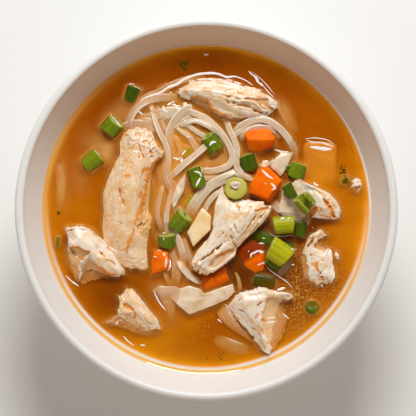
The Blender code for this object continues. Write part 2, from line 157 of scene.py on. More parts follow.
sky.links.new(sky_power.outputs[0], sky.nodes["Background"].inputs["Strength"])
sky.nodes["Background"].inputs["Color"].default_value = (1.0, 0.97, 0.93, 1.0)
bpy.context.scene.world = world


class Value:
    """A shader number: wraps a node's socket, so that sums on it add Math nodes."""

    def __init__(self, finish, socket):
        self.finish = finish
        self.socket = socket

    def join(self, operation, first, second, clamp=False):
        return self.finish.node("ShaderNodeMath", {"operation": operation, "use_clamp": clamp},
                                {0: first, 1: second})

    def __add__(self, other):
        return self.join("ADD", self, other)

    def __radd__(self, other):
        return self.join("ADD", other, self)

    def __sub__(self, other):
        return self.join("SUBTRACT", self, other)

    def __rsub__(self, other):
        return self.join("SUBTRACT", other, self)

    def __mul__(self, other):
        return self.join("MULTIPLY", self, other)

    def __rmul__(self, other):
        return self.join("MULTIPLY", other, self)

    def __truediv__(self, other):
        return self.join("DIVIDE", self, other)

    def __pow__(self, other):
        return self.join("POWER", self, other)

    def clamped(self):
        return self.join("ADD", self, 0.0, clamp=True)


class Finish:
    """One material's node tree, built around its Principled shader."""

    def __init__(self, name, **constants):
        self.material = bpy.data.materials.new(name)
        self.material.use_nodes = True
        self.tree = self.material.node_tree
        self.shader = self.tree.nodes["Principled BSDF"]
        for socket, value in constants.items():
            self.shader.inputs[socket.replace("_", " ")].default_value = value
        self.place = self.node("ShaderNodeTexCoord", output="Object")

    def node(self, kind, settings=None, sockets=None, output=0):
        """A node with its settings, then its sockets' values or links; returns one of its outputs."""
        node = self.tree.nodes.new(kind)
        for setting, value in (settings or {}).items():
            if setting == "stops":
                ramp = node.color_ramp
                while len(ramp.elements) < len(value):
                    ramp.elements.new(0.5)
                for element, (position, colour) in zip(ramp.elements, value):
                    element.position = position
                    element.color = (*colour, 1.0)
            else:
                setattr(node, setting, value)
        for socket, value in (sockets or {}).items():
            if isinstance(value, Value):
                self.tree.links.new(value.socket, node.inputs[socket])
            elif isinstance(value, tuple) and len(value) == 3 and node.inputs[socket].type == "RGBA":
                node.inputs[socket].default_value = (*value, 1.0)
            else:
                node.inputs[socket].default_value = value
        return Value(self, node.outputs[output])

    def colour(self, first, second, share):
        """The first colour turning into the second."""
        return self.node("ShaderNodeMix", {"data_type": "RGBA"}, {0: share, 6: first, 7: second}, 2)

    def attribute(self, name, output="Fac"):
        return self.node("ShaderNodeAttribute", {"attribute_name": name}, output=output)

    def noise(self, scale, detail=2.0, place=None, roughness=0.5):
        """Soft noise from 0 to 1; scale is in lumps per metre."""
        return self.node("ShaderNodeTexNoise", {},
                         {"Vector": place or self.place, "Scale": scale, "Detail": detail,
                          "Roughness": roughness})

    def stretched(self, turn, scale):
        """The place, turned about the vertical and scaled along each axis, for grain."""
        return self.node("ShaderNodeMapping", {}, {"Vector": self.place, "Rotation": (0, 0, turn),
                                                   "Scale": scale})

    def height(self):
        return self.node("ShaderNodeSeparateXYZ", {}, {0: self.place}, "Z")

    def between(self, value, low, high):
        """0 below low, 1 above high, smooth between them."""
        return self.node("ShaderNodeMapRange", {"interpolation_type": "SMOOTHSTEP"},
                         {"Value": value, "From Min": low, "From Max": high})

    def bump(self, height, strength, distance):
        return self.node("ShaderNodeBump", {}, {"Height": height, "Strength": strength,
                                                "Distance": distance})

    def feed(self, **links):
        for socket, value in links.items():
            self.tree.links.new(value.socket, self.shader.inputs[socket.replace("_", " ")])
        return self.material


def new_piece(name, mesh, finish, slot, *nodes):
    """Links a finished mesh as a piece of the soup that stands for its CAD nodes."""
    piece = bpy.data.objects.new(name, mesh)
    bpy.context.scene.collection.objects.link(piece)
    mesh.materials.clear()
    mesh.materials.append(finish)
    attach(piece, "root")
    if nodes:
        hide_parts(*nodes)
    return piece


table_mesh = bpy.data.meshes.new("table")
table_size = 4.0
table_mesh.from_pydata([(-table_size, -table_size, 0), (table_size, -table_size, 0),
                        (table_size, table_size, 0), (-table_size, table_size, 0)], [], [(0, 1, 2, 3)])
table = bpy.data.objects.new("table", table_mesh)
bpy.context.scene.collection.objects.link(table)
plaster = Finish("table_top", Roughness=0.6)
table_mesh.materials.append(plaster.feed(
    Base_Color=plaster.colour((0.86, 0.86, 0.86), (0.90, 0.90, 0.895), plaster.noise(3.0))))
table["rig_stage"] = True

# Bowl. Thrown stoneware under an off-white glaze, turned on its foot ring. The glaze is a little
# uneven and stops above the foot, which is bare clay.
FOOT_RADIUS = 37 * MM
FOOT_WIDTH = 5 * MM
FOOT_DEPTH = 3 * MM
FLOOR_HEIGHT = 8 * MM
FLOOR_RADIUS = 20 * MM
LIP_WIDTH = 4 * MM
WALL_CURVE = 0.42
WALL_THICKNESS = 4 * MM


def wall_radius(height):
    """Radius of the bowl's inside at a height."""
    lip_height = RIM_HEIGHT - LIP_WIDTH / 2
    share = max(0.0, (height - FLOOR_HEIGHT) / (lip_height - FLOOR_HEIGHT))
    return FLOOR_RADIUS + (BOWL_RADIUS - LIP_WIDTH - FLOOR_RADIUS) * share ** WALL_CURVE


def turned_mesh(name, profile, steps):
    """A closed solid of revolution whose profile runs from the axis to the axis."""
    bm = bmesh.new()
    rings = []
    for radius, height in profile:
        if radius < 1e-7:
            rings.append([bm.verts.new((0, 0, height))])
            continue
        ring = []
        for step in range(steps):
            turn = 2 * pi * step / steps
            ring.append(bm.verts.new((radius * cos(turn), radius * sin(turn), height)))
        rings.append(ring)
    for upper, lower in zip(rings, rings[1:]):
        for step in range(steps):
            after = (step + 1) % steps
            corners = [upper[step % len(upper)], lower[step % len(lower)],
                       lower[after % len(lower)], upper[after % len(upper)]]
            bm.faces.new(list(dict.fromkeys(corners)))
    bmesh.ops.recalc_face_normals(bm, faces=bm.faces)
    mesh = bpy.data.meshes.new(name)
    bm.to_mesh(mesh)
    bm.free()
    mesh.shade_smooth()
    return mesh


lip_radius = LIP_WIDTH / 2
lip_height = RIM_HEIGHT - lip_radius
bowl_profile = [(0, FLOOR_HEIGHT), (FLOOR_RADIUS * 0.6, FLOOR_HEIGHT), (FLOOR_RADIUS, FLOOR_HEIGHT)]
for step in range(1, 41):
    share = (step / 40) ** 1.7
    height = FLOOR_HEIGHT + (lip_height - FLOOR_HEIGHT) * share
    bowl_profile.append((wall_radius(height), height))
lip_start = radians(157)
for step in range(17):
    turn = lip_start - lip_start * step / 16
    bowl_profile.append((BOWL_RADIUS - lip_radius + lip_radius * cos(turn),
                         lip_height + lip_radius * sin(turn)))
for step in range(30):
    height = lip_height - 7 * MM - (lip_height - 15 * MM) * (step / 29) ** 0.9
    bowl_profile.append((wall_radius(height + 1.5 * MM) + WALL_THICKNESS, height))
bowl_profile += [
    (FOOT_RADIUS + 1.0 * MM, 6.2 * MM), (FOOT_RADIUS + 0.4 * MM, 4.0 * MM),
    (FOOT_RADIUS, 1.0 * MM), (FOOT_RADIUS - 0.4 * MM, 0.3 * MM), (FOOT_RADIUS - 1.0 * MM, 0),
    (FOOT_RADIUS - FOOT_WIDTH + 0.6 * MM, 0), (FOOT_RADIUS - FOOT_WIDTH, 0.5 * MM),
    (FOOT_RADIUS - FOOT_WIDTH - 0.8 * MM, FOOT_DEPTH), (0, FOOT_DEPTH),
]
glaze = Finish("glazed_stoneware", Coat_Roughness=0.25)
mottle = glaze.noise(160.0, 3.0)
glaze_colour = glaze.colour((0.77, 0.765, 0.745), (0.82, 0.815, 0.80), mottle)
speck = glaze.between(glaze.noise(1900.0, 1.0), 0.80, 0.86)
glaze_colour = glaze.colour(glaze_colour, (0.52, 0.46, 0.38), speck * 0.5)
facing_middle = glaze.node("ShaderNodeVectorMath", {"operation": "DOT_PRODUCT"}, {
    0: glaze.place, 1: glaze.node("ShaderNodeNewGeometry", output="Normal")}, "Value")
# The inner wall at the back is tinted warm brown: painted shade, warmed as if by light bounced off the broth.
north_wall_painted_shade = glaze.between(facing_middle * -1.0, 0.0, 0.01) * glaze.between(
    glaze.node("ShaderNodeSeparateXYZ", {}, {0: glaze.place}, "Y"), 5 * MM, 75 * MM)
glaze_colour = glaze.colour(glaze_colour, (0.74, 0.57, 0.42), north_wall_painted_shade * 0.8)
bare_clay = 1 - glaze.between(glaze.height() + glaze.noise(220.0) * 0.8 * MM, 1.3 * MM, 1.7 * MM)
glaze_colour = glaze.colour(glaze_colour, (0.60, 0.52, 0.42), bare_clay)
throwing = glaze.noise(30.0, 2.0, glaze.stretched(0, (0.5, 0.5, 14.0)))
glaze.feed(Base_Color=glaze_colour, Roughness=0.36 + mottle * 0.12 + bare_clay * 0.4,
           Coat_Weight=(1 - bare_clay) * 0.06,
           Normal=glaze.bump(throwing + mottle * 0.4, 0.25, 0.25 * MM))
new_piece("bowl_glazed", turned_mesh("bowl_glazed", bowl_profile, 192), glaze.material,
          "glazed_ceramic", "bowl")

# Noodles. Flat rice noodles, translucent and slippery, looped over one another in a loose heap that
# floats in the middle. The ribbons that show are laid one by one over the heap's sunken core.
NOODLE_WIDTH = 3.0 * MM
NOODLE_THICKNESS = 0.8 * MM


def table_noise(places, size, seed):
    """Smooth noise from -1 to 1 at each place; size is a lump's width, one for each axis."""
    tilt = np.array(Matrix.Rotation(0.7, 3, Vector((1.0, 0.6, 0.3))))
    where = (np.asarray(places) / np.asarray(size)) @ tilt.T + seed * 7.31
    cell = np.floor(where).astype(np.int64)
    part = where - cell
    blend = part * part * part * (part * (part * 6 - 15) + 10)
    total = np.zeros(len(where))
    for corner in np.ndindex(2, 2, 2):
        code = ((cell + corner) * (73856093, 19349663, 83492791)).sum(axis=1)
        code = (code ^ (code >> 15)) * 2246822519 & 0xFFFFFFFF
        code = (code ^ (code >> 13)) * 3266489917 & 0xFFFFFFFF
        level = ((code >> 9) & 0xFFFF) / 32767.5 - 1
        total += level * np.where(corner, blend, 1 - blend).prod(axis=1)
    return total


def new_mesh(name, points, faces, **values):
    """A smooth-shaded mesh from points in metres, with a named value on every point."""
    mesh = bpy.data.meshes.new(name)
    mesh.from_pydata(points, [], faces)
    mesh.shade_smooth()
    for value_name, value in values.items():
        layer = mesh.attributes.new(value_name, "FLOAT", "POINT")
        layer.data.foreach_set("value", np.asarray(value, np.float32))
    return mesh


def smooth_path(corners, step):
    """Evenly spaced points on a smooth curve through the corners."""
    corners = np.asarray(corners, float)
    padded = np.vstack((2 * corners[0] - corners[1], corners, 2 * corners[-1] - corners[-2]))
    dense = []
    for a, b, c, d in zip(padded, padded[1:], padded[2:], padded[3:]):
        for share in np.linspace(0, 1, 24, endpoint=False):
            dense.append(0.5 * (2 * b + (c - a) * share + (2 * a - 5 * b + 4 * c - d) * share ** 2
                                + (3 * b - a - 3 * c + d) * share ** 3))
    dense = np.array(dense + [corners[-1]])
    run = np.concatenate(([0], np.cumsum(np.linalg.norm(np.diff(dense, axis=0), axis=1))))
    marks = np.linspace(0, run[-1], max(2, int(run[-1] / step) + 1))
    return np.stack([np.interp(marks, run, dense[:, axis]) for axis in range(3)], axis=1)


def ribbon_tree(name, finish_material):
    """Geometry Nodes that sweep a flat ribbon with rounded, lightly fluted faces along each path."""
    tree = bpy.data.node_groups.new(name, "GeometryNodeTree")
    face = tree.interface
    face.new_socket("Paths", in_out="INPUT", socket_type="NodeSocketGeometry")
    for socket, default in (("Width", NOODLE_WIDTH), ("Thickness", NOODLE_THICKNESS), ("Flutes", 0.03)):
        face.new_socket(socket, in_out="INPUT", socket_type="NodeSocketFloat").default_value = default
    face.new_socket("Ribbons", in_out="OUTPUT", socket_type="NodeSocketGeometry")
    nodes, links = tree.nodes, tree.links

    def add(kind, settings=None, **sockets):
        node = nodes.new(kind)
        for setting, value in (settings or {}).items():
            setattr(node, setting, value)
        for socket, value in sockets.items():
            target = node.inputs[int(socket[1:])] if socket[1:].isdigit() else node.inputs[
                socket.replace("_", " ")]
            if isinstance(value, bpy.types.NodeSocket):
                links.new(value, target)
            else:
                target.default_value = value
        return node

    def math(operation, first, second):
        return add("ShaderNodeMath", {"operation": operation}, _0=first, _1=second).outputs[0]

    given = nodes.new("NodeGroupInput").outputs
    to_curve = add("GeometryNodeMeshToCurve", Mesh=given["Paths"])
    flat = add("GeometryNodeSetCurveNormal", Curve=to_curve.outputs[0])
    if "mode" in flat.bl_rna.properties:
        flat.mode = "Z_UP"
    else:
        flat.inputs["Mode"].default_value = "Z Up"
    leaning = add("GeometryNodeInputNamedAttribute", {"data_type": "FLOAT"}, Name="lean").outputs[0]
    leant = add("GeometryNodeSetCurveTilt", _0=flat.outputs[0], Tilt=leaning)
    section = add("GeometryNodeCurvePrimitiveCircle", Resolution=20, Radius=1.0).outputs[0]
    turn = math("MULTIPLY", add("GeometryNodeInputIndex").outputs[0], 2 * pi / 20)
    across = math("COSINE", turn, 0.0)
    up = math("SINE", turn, 0.0)
    flute = math("MULTIPLY", math("COSINE", math("MULTIPLY", across, 11.0), 0.0), given["Flutes"])
    squared = math("MULTIPLY", math("SIGN", up, 0.0), math("POWER", math("ABSOLUTE", up, 0.0), 0.55))
    height = math("MULTIPLY", math("MULTIPLY", squared, math("ADD", flute, 0.5)), given["Thickness"])
    breadth = math("MULTIPLY", across, math("MULTIPLY", given["Width"], 0.5))
    place = add("ShaderNodeCombineXYZ", _0=breadth, _1=height, _2=0.0).outputs[0]
    shaped = add("GeometryNodeSetPosition", Geometry=section, Position=place).outputs[0]
    marked = add("GeometryNodeStoreNamedAttribute", {"data_type": "FLOAT", "domain": "POINT"},
                 Geometry=shaped, Name="across", Value=across).outputs[0]
    swept = add("GeometryNodeCurveToMesh", Curve=leant.outputs[0], Profile_Curve=marked)
    swept.inputs["Fill Caps"].default_value = True
    if "Scale" in swept.inputs:
        girth = add("GeometryNodeInputNamedAttribute", {"data_type": "FLOAT"}, Name="girth").outputs[0]
        links.new(girth, swept.inputs["Scale"])
    smooth = add("GeometryNodeSetShadeSmooth", Geometry=swept.outputs[0])
    real = add("GeometryNodeRealizeInstances", Geometry=smooth.outputs[0])
    finished = add("GeometryNodeSetMaterial", Geometry=real.outputs[0])
    finished.inputs["Material"].default_value = finish_material
    links.new(finished.outputs[0], nodes.new("NodeGroupOutput").inputs[0])
    return tree


def swept_mesh(name, paths, tree, girths, leans, **sizes):
    """Runs a sweeping tree over a set of paths and returns the plain mesh."""
    points, edges = [], []
    for path in paths:
        first = len(points)
        points.extend(path)
        edges.extend((first + i, first + i + 1) for i in range(len(path) - 1))
    mesh = bpy.data.meshes.new(name + "_paths")
    mesh.from_pydata(points, edges, [])
    for value_name, values in (("girth", girths), ("lean", leans)):
        layer = mesh.attributes.new(value_name, "FLOAT", "POINT")
        layer.data.foreach_set("value", np.concatenate(values))
    guide = bpy.data.objects.new(name + "_paths", mesh)
    bpy.context.scene.collection.objects.link(guide)
    modifier = guide.modifiers.new("sweep", "NODES")
    modifier.node_group = tree
    for item in tree.interface.items_tree:
        if item.in_out == "INPUT" and item.name in sizes:
            modifier[item.identifier] = sizes[item.name]
    evaluated = guide.evaluated_get(bpy.context.evaluated_depsgraph_get())
    swept = bpy.data.meshes.new_from_object(evaluated)
    swept.name = name
    bpy.data.objects.remove(guide)
    return swept


# Visible ribbons: width, then (x, y, height above the broth), in millimetres, from one end to the other.
NOODLE_PATHS = [
    # Outer sweep round the back left, and one just under the surface outside it.
    (3.5, [(-35.4, 33, -1.8), (-35.2, 37.5, -0.4), (-34.7, 40, 0.1), (-33, 43.3, 0.3), (-31.1, 45.6, 0.4),
           (-28.8, 47.6, 0.2), (-25.7, 49.2, 0.2), (-22.5, 50, 0.2), (-19, 50.3, 0.1), (-15.5, 50.2, -0.4),
           (-10, 49, -2)]),
    (3.2, [(-34.5, 43, -3), (-32.2, 46.4, -1.6), (-29.2, 49.2, -0.9), (-25.4, 51.2, -0.6), (-21, 52.7, -0.5),
           (-17, 55.2, -0.5), (-12, 57.6, -0.8), (-6.5, 59.4, -1.4), (0, 59.8, -2.6)]),
    # Down from the back beside the large slab.
    (2.3, [(-25.2, 47.4, -1), (-24.4, 45.6, 0.1), (-23.4, 41.5, 0.9), (-21.9, 37, 1.3), (-20.5, 33.5, 1.4),
           (-19, 30.7, 1.3), (-17.8, 27, 1.0), (-17.5, 22.7, 0.7), (-17.5, 18.4, 0.5), (-17, 14.7, 0.3),
           (-15.3, 11.8, 0), (-13.4, 8.6, -0.8), (-11.6, 4, -2.2)]),
    (2.4, [(-22.4, 46.4, -1.4), (-21.4, 42, -0.4), (-19.6, 37.4, 0.1), (-17.9, 33.4, 0.1), (-17.2, 29, -0.3),
           (-17.4, 24, -1)]),
    # The wide end that comes down from the back, and the pale mass beside it.
    (3.7, [(-6.4, 45.8, 0.9), (-9.2, 45, 1.5), (-12.4, 42.4, 1.5), (-14.9, 39, 1.1), (-16.3, 35, 0.4),
           (-16.6, 30.6, -0.2), (-16.2, 26, -0.8), (-15.4, 21, -1.8)]),
    (3.4, [(-21.4, 40.6, -0.2), (-18.4, 42, 0.6), (-15, 43.2, 0.8), (-11.6, 43.6, 0.6), (-8.4, 42.2, 0)]),
    (3.2, [(-19.8, 38.8, -0.6), (-16.6, 40.4, 0.2), (-12.6, 40, 0.6), (-8.8, 37.8, 0.4), (-6, 35.4, -0.4)]),
    (3.0, [(-31.5, 38.4, -1.2), (-28.6, 39.6, -0.1), (-25.6, 39.6, 0.2), (-23.4, 38.2, 0), (-21, 36, -1)]),
    (2.8, [(-31, 41.4, -1.6), (-27.6, 41.8, -0.5), (-24.6, 41.2, -0.5), (-22, 39.4, -1.4)]),
    (4.6, [(-28, 40, -1.2), (-22.6, 42.6, 0.1), (-16.6, 44, 0.5), (-10.6, 43.2, 0.5), (-5.6, 40.8, -0.2)]),
    (4.2, [(-18.4, 35.4, -1), (-14, 39, 0.2), (-9.4, 41.2, 0.5), (-4.4, 41, 0.1)]),
    (4.4, [(-37.4, 36.6, -0.8), (-32.4, 38.4, 0), (-27.2, 38, 0.1), (-22.4, 36.2, -0.5)]),
    # The big loop, outer ribbon then the one inside it.
    (2.9, [(-12, 43.4, 0.2), (-8, 43.9, 1.2), (-3.6, 42.2, 1.6), (0.2, 40.4, 1.7), (3.4, 37.9, 1.7),
           (6.2, 35, 1.7), (8.6, 31.9, 1.7), (10.6, 28.2, 1.8), (11.6, 24.2, 1.8), (11, 21.2, 1.7),
           (9, 19.2, 1.6), (6.2, 18, 1.4), (2.2, 17.2, 1), (-2, 17.3, 0.3), (-6, 18.4, -0.8)]),
    (2.3, [(-12, 38, 0.4), (-9.3, 38.3, 1.3), (-7.6, 39.3, 1.8), (-5.3, 39.8, 2.1), (-3, 39.3, 2.1),
           (0.5, 37.5, 2), (3.6, 35.4, 1.8), (6.4, 33, 1.4), (8.2, 30, 0.7), (9, 27, -0.2), (8.6, 23.6, -1.2)]),
    # The fan of diagonals inside the loop.
    (2.1, [(-12.4, 40.4, 0.2), (-10.4, 39, 0.9), (-7.6, 37, 1.1), (-4.7, 35, 1.1), (-1, 33, 0.9),
           (2.4, 30.6, 0.2), (4.6, 27.6, -0.8)]),
    (1.6, [(-14, 37.8, 0), (-12.4, 36.2, 0.6), (-10, 34, 0.8), (-7.6, 32.2, 0.8), (-5.4, 30.4, 0)]),
    (2.7, [(-10.8, 36.6, -0.8), (-8.2, 33.6, -0.1), (-6, 30.2, 0.2), (-4.4, 27, 0), (-2.6, 24, -0.9)]),
    (3.0, [(-6.8, 36, -1), (-3.4, 32.6, -0.4), (-0.4, 29.6, -0.6), (1.4, 26, -1.4)]),
    (2.6, [(-14.6, 33.6, -1.6), (-12.4, 30, -0.8), (-11.4, 26, -0.7), (-11.8, 22, -1.4)]),
    (2.8, [(-2, 21.8, -1.6), (2, 20.6, -0.9), (5.4, 21.6, -0.8), (7.8, 24.4, -1.4)]),
    # The straight end that lies over the others.
    (2.9, [(-16.4, 14.6, -0.4), (-13.6, 17, 0.8), (-10.4, 20.1, 1.8), (-6.4, 23.3, 2.4), (-3, 26.1, 2.6),
           (-0.2, 28.4, 2.6), (1.8, 30.2, 2.1)]),
    # Right of the loop: a tail that runs down to the carrots.
    (2.6, [(7.6, 42, -1.6), (9.4, 38.4, 0.5), (10.9, 34.8, 1.3), (12.5, 31.5, 1.5), (13.8, 27.9, 1.6),
           (14, 24.3, 1.6), (13.8, 20.4, 1.5), (14.2, 18.2, 1.5), (16.3, 16.3, 1.4), (18.9, 14.5, 0.8),
           (21.5, 12.8, -0.4)]),
    # Arches over the back carrot.
    (3.2, [(12.2, 31, -1), (13.4, 35, 0.3), (16.7, 38.2, 1.6), (20.5, 39.9, 2.1), (24.1, 40.3, 2.2),
           (27.4, 39.7, 2.1), (30.5, 38.2, 1.8), (33, 36.4, 1.4), (35.2, 34, 1), (37.2, 31.4, 0.5),
           (38.6, 28.4, -0.1), (39.4, 25, -1), (39.4, 21, -2.6)]),
    (2.2, [(16, 31.4, 0), (17.2, 33.8, 1.2), (19.4, 35.6, 1.8), (22.5, 36.7, 2), (26.6, 36.9, 1.9),
           (29.4, 36, 1.4), (31.8, 34.4, 0.4), (33.4, 32, -1)]),
    (2.3, [(11.6, 31.6, -0.2), (13.4, 33.9, 0.8), (16.6, 36, 1.3), (20.5, 37.9, 1.4), (25, 38.6, 1.2)]),
    # Verticals between the large slab and the middle.
    (2.4, [(-19.4, 11.5, -1.6), (-20.3, 8.5, -0.6), (-21.2, 5, -0.2), (-22, 0.5, 0), (-22.1, -3, 0),
           (-21, -6.8, -0.2), (-19.6, -10, -1.2)]),
    (2.3, [(-14.6, 10.6, -0.8), (-15.8, 7.2, 0.1), (-17, 2.6, 0.5), (-17.8, -2, 0.7), (-17.9, -6, 0.7),
           (-17.5, -10.4, 0.1), (-17, -14, -1.0)]),
    (2.0, [(-23.5, 14, -2.4), (-23, 8, -1.9), (-23.6, 2, -1.9), (-24, -6, -2.2), (-23, -14, -2.9)]),
    (2.0, [(-19.5, 16, -2.2), (-19.2, 9, -1.8), (-19.6, 2, -1.8), (-19.8, -6, -2), (-18.6, -13, -2.6)]),
    (2.6, [(-20.2, 25, -2.2), (-21.2, 19.4, -1.2), (-20.8, 14, -1.2), (-21.2, 7, -1.8)]),
    (2.6, [(-18.6, 23, -1.2), (-19, 19, -0.2), (-18.2, 13, 0.1), (-16.4, 9.6, -0.3), (-14, 6.6, -1.4)]),
    (2.4, [(-13.2, 14, -1.4), (-12.8, 8, -0.6), (-13.6, 1, -0.6), (-12.6, -6, -1.4)]),
    # Diagonals that lead up under the shredded meat.
    (2.8, [(16, 18.5, 0.4), (11, 16.3, 1.4), (6.4, 14, 1.7), (2.2, 11.6, 1.8), (-2.2, 8, 1.5),
           (-5.6, 3.6, 0.9), (-8.2, -0.6, 0), (-9.8, -4, -1.2)]),
    (2.6, [(15, 14.4, 0), (10.4, 13.4, 1), (6, 11.6, 1.6), (1.8, 9.2, 1.8), (-1.6, 5.6, 1.5),
           (-4.6, 1.4, 0.8), (-7, -2.6, -0.4)]),
    (2.4, [(8, 9.4, 0.2), (3.6, 6.4, 0.9), (0.4, 2, 0.6), (-2, -2.6, -0.4)]),
    (2.6, [(-7, 13, -0.9), (-2, 14, -0.2), (4, 14.4, 0), (9, 17.4, -0.8)]),
    # Tails that run down past the left-hand carrot.
    (3.0, [(-15.8, -7, -0.4), (-14.9, -9.5, 0.5), (-12.8, -13.6, 1), (-11.4, -17.7, 0.8), (-10.7, -21.1, 0.2),
           (-10.2, -25, -1)]),
    (2.7, [(-10.9, -13, -0.6), (-9.4, -17.7, 0), (-8, -21.1, 0), (-7, -24, -0.6), (-6.4, -28, -1.8)]),
    (3.1, [(-12.8, -22.6, -0.8), (-11.1, -25.6, 0.6), (-8.3, -29, 1), (-5.2, -31.2, 0.8), (-2.2, -32.4, -0.6)]),
    (2.7, [(-16.6, -15, -1), (-15.3, -20, -0.3), (-14, -24, -0.3), (-14.2, -28.6, -0.6), (-14.9, -33.4, -2)]),
    (2.4, [(-12.6, -25, -1), (-12.6, -29, -0.6), (-13.2, -33, -1.4)]),
    (2.4, [(-17.8, -26.6, -1.4), (-17.8, -30.4, -0.8), (-16.4, -34, -1.7)]),
    # Pale ends behind the right-hand slab.
    (4.2, [(30, 3, -0.6), (33, 0.4, 0.9), (37.4, -1.8, 1.3), (42, -3.8, 0.8), (46.5, -5.8, -0.8)]),
    (3.4, [(30.5, -0.5, -1.2), (34.5, -3, 0.3), (40, -4.8, 0.3), (45, -6.8, -1.2)]),
    # Sunken ribbons further out.
    (4.4, [(-66, 21, -4.2), (-65.7, 15, -2.3), (-65.3, 8, -2.2), (-65.8, 2, -4)]),
    (4.8, [(32.6, 49, -3.8), (34.6, 44.6, -2.3), (37.6, 38.6, -2.3), (40, 34, -3.6)]),
    (5.2, [(4.2, -58.4, -3.4), (8.4, -60, -1.7), (13, -61.6, -1.6), (18.4, -63.8, -3.4)]),
]
rng = np.random.default_rng(7)
for order in range(30):
    centre = np.array((-6.0, 27.0)) + rng.normal(0, (4.5, 6.0))
    reach, start, sweep = rng.uniform(6, 17), rng.uniform(0, 2 * pi), rng.uniform(1.2, 2.6)
    turns = start + np.linspace(0, sweep, 6)
    arc = centre + reach * np.column_stack((np.cos(turns), 1.15 * np.sin(turns)))
    fall = rng.uniform(-2.9, -1.3) - 0.5 * np.abs(np.linspace(-1, 1, 6)) ** 3
    arc[:, 0] = np.clip(arc[:, 0], -21, 12)
    NOODLE_PATHS.append((rng.uniform(2.4, 3.4), [tuple(corner) for corner in np.column_stack((arc, fall))]))

ribbon = Finish("rice_noodle", Roughness=0.3, Coat_Weight=0.25, Coat_Roughness=0.12,
                Subsurface_Weight=0.2, Subsurface_Scale=1.5 * MM)
ribbon.shader.inputs["Subsurface Radius"].default_value = (1.0, 0.6, 0.35)
sunk = ribbon.between(ribbon.height(), BROTH_LEVEL - 1.6 * MM, BROTH_LEVEL + 1.2 * MM)
cloud = ribbon.noise(300.0, 2.0)
# Ribbon rims are whiter and more opaque: partly the noodle's own edge, partly a painted highlight along the rims.
opaque_rim_and_highlight = ribbon.between(ribbon.attribute("across") * ribbon.attribute("across"), 0.35, 0.95)
noodle_colour = ribbon.colour((0.87, 0.61, 0.34), (0.96, 0.82, 0.64), cloud)
noodle_colour = ribbon.colour(noodle_colour, (1.0, 0.92, 0.82), opaque_rim_and_highlight * 0.65)
noodle_colour = ribbon.colour((0.88, 0.46, 0.12), noodle_colour, sunk)
ribbon.feed(Base_Color=noodle_colour, Roughness=0.22 + cloud * 0.16,
            Alpha=(0.58 + opaque_rim_and_highlight * 0.36 + cloud * 0.14).clamped(),
            Normal=ribbon.bump(ribbon.noise(1500.0, 2.0), 0.12, 0.1 * MM))

noodle_lines, noodle_girths, noodle_leans = [], [], []
for order, (width, corners) in enumerate(NOODLE_PATHS):
    line = smooth_path(corners, 0.8)
    line += np.stack([table_noise(line + 90 * order, (9, 9, 9), axis) * (0.3, 0.3, 0.2)[axis]
                      for axis in range(3)], axis=1)
    line[:, 2] += BROTH_LEVEL / MM
    noodle_lines.append(line * MM)
    share = np.linspace(0, 1, len(line))
    girth = width / 3.0 * (1 + 0.08 * table_noise(line, (7, 7, 7), 5))
    noodle_girths.append(girth * np.minimum(1, 0.7 + 8 * np.minimum(share, 1 - share)))
    noodle_leans.append(0.45 * table_noise(line + 50 * order, (14, 14, 14), 6))
noodles = swept_mesh("noodles", noodle_lines, ribbon_tree("noodle_sweep", ribbon.material),
                     noodle_girths, noodle_leans, Width=NOODLE_WIDTH, Thickness=NOODLE_THICKNESS)
new_piece("noodles", noodles, ribbon.material, "noodle", "noodle_nest")

# The heap's sunken core keeps inside the CAD heap's outline, and its relief is tangled ribbons.
nest_low, nest_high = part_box("noodle_nest")
nest_centre = (nest_low + nest_high) / 2
core_bm = bmesh.new()
bmesh.ops.create_icosphere(core_bm, subdivisions=6, radius=1.0)
core_points = np.array([vert.co[:] for vert in core_bm.verts])
core_faces = [[vert.index for vert in face.verts] for face in core_bm.faces]
core_bm.free()
flat_reach = np.linalg.norm(core_points[:, :2], axis=1, keepdims=True)
core_points[:, :2] *= np.clip(flat_reach, 0.001, 1) ** -0.35 * 0.84
half_width = (nest_high.x - nest_low.x) / 2
half_length = (nest_high.y - nest_low.y) / 2
core_depth = BROTH_LEVEL - nest_low.z
core = core_points * (half_width, half_length, 1.0)
core[:, 2] *= np.where(core_points[:, 2] > 0, 3.0 * MM, core_depth - 6 * MM)
core += (nest_centre.x, nest_centre.y, BROTH_LEVEL - 7.0 * MM)
tangle = 1 - np.abs(table_noise(core, np.array((3.2, 9, 4)) * MM, 3))
tangle += 1 - np.abs(table_noise(core, np.array((10, 3.4, 4)) * MM, 4))
core[:, 2] += tangle * 0.9 * MM
new_piece("noodle_core", new_mesh("noodle_core", core, core_faces), ribbon.material, "noodle")

# Chicken. Poached breast, sliced and pulled by hand: a close grain of fibres that splits and frays
# where it was torn, cream where it is clean and orange where spiced oil has run into the seams.
# Painted shade darkens the deepest clefts and the grooves between fibres, and partly tints the hollows tan.
FIBRE = 0.9                       # width of a bundle of fibres, in millimetres, as all sizes below


def fine_copy(node, face_size):
    """The CAD node's solid as an even net of small faces: its points in millimetres, and its faces."""
    bm = bmesh.new()
    bm.from_mesh(frame["nodes"][node].data)
    bmesh.ops.remove_doubles(bm, verts=bm.verts, dist=0.01 * MM)
    merged = bpy.data.meshes.new(node + "_merged")
    bm.to_mesh(merged)
    bm.free()
    merged.transform(Matrix.Scale(1 / MM, 4))
    helper = bpy.data.objects.new(node + "_merged", merged)
    bpy.context.scene.collection.objects.link(helper)
    remesh = helper.modifiers.new("even", "REMESH")
    remesh.mode = "VOXEL"
    remesh.voxel_size = face_size
    even = bpy.data.meshes.new_from_object(helper.evaluated_get(bpy.context.evaluated_depsgraph_get()))
    bpy.data.objects.remove(helper)
    points = np.empty(len(even.vertices) * 3, np.float32)
    even.vertices.foreach_get("co", points)
    corners = np.empty(len(even.loops), np.int32)
    even.loops.foreach_get("vertex_index", corners)
    return points.reshape(-1, 3).astype(float), corners.reshape(-1, 4)


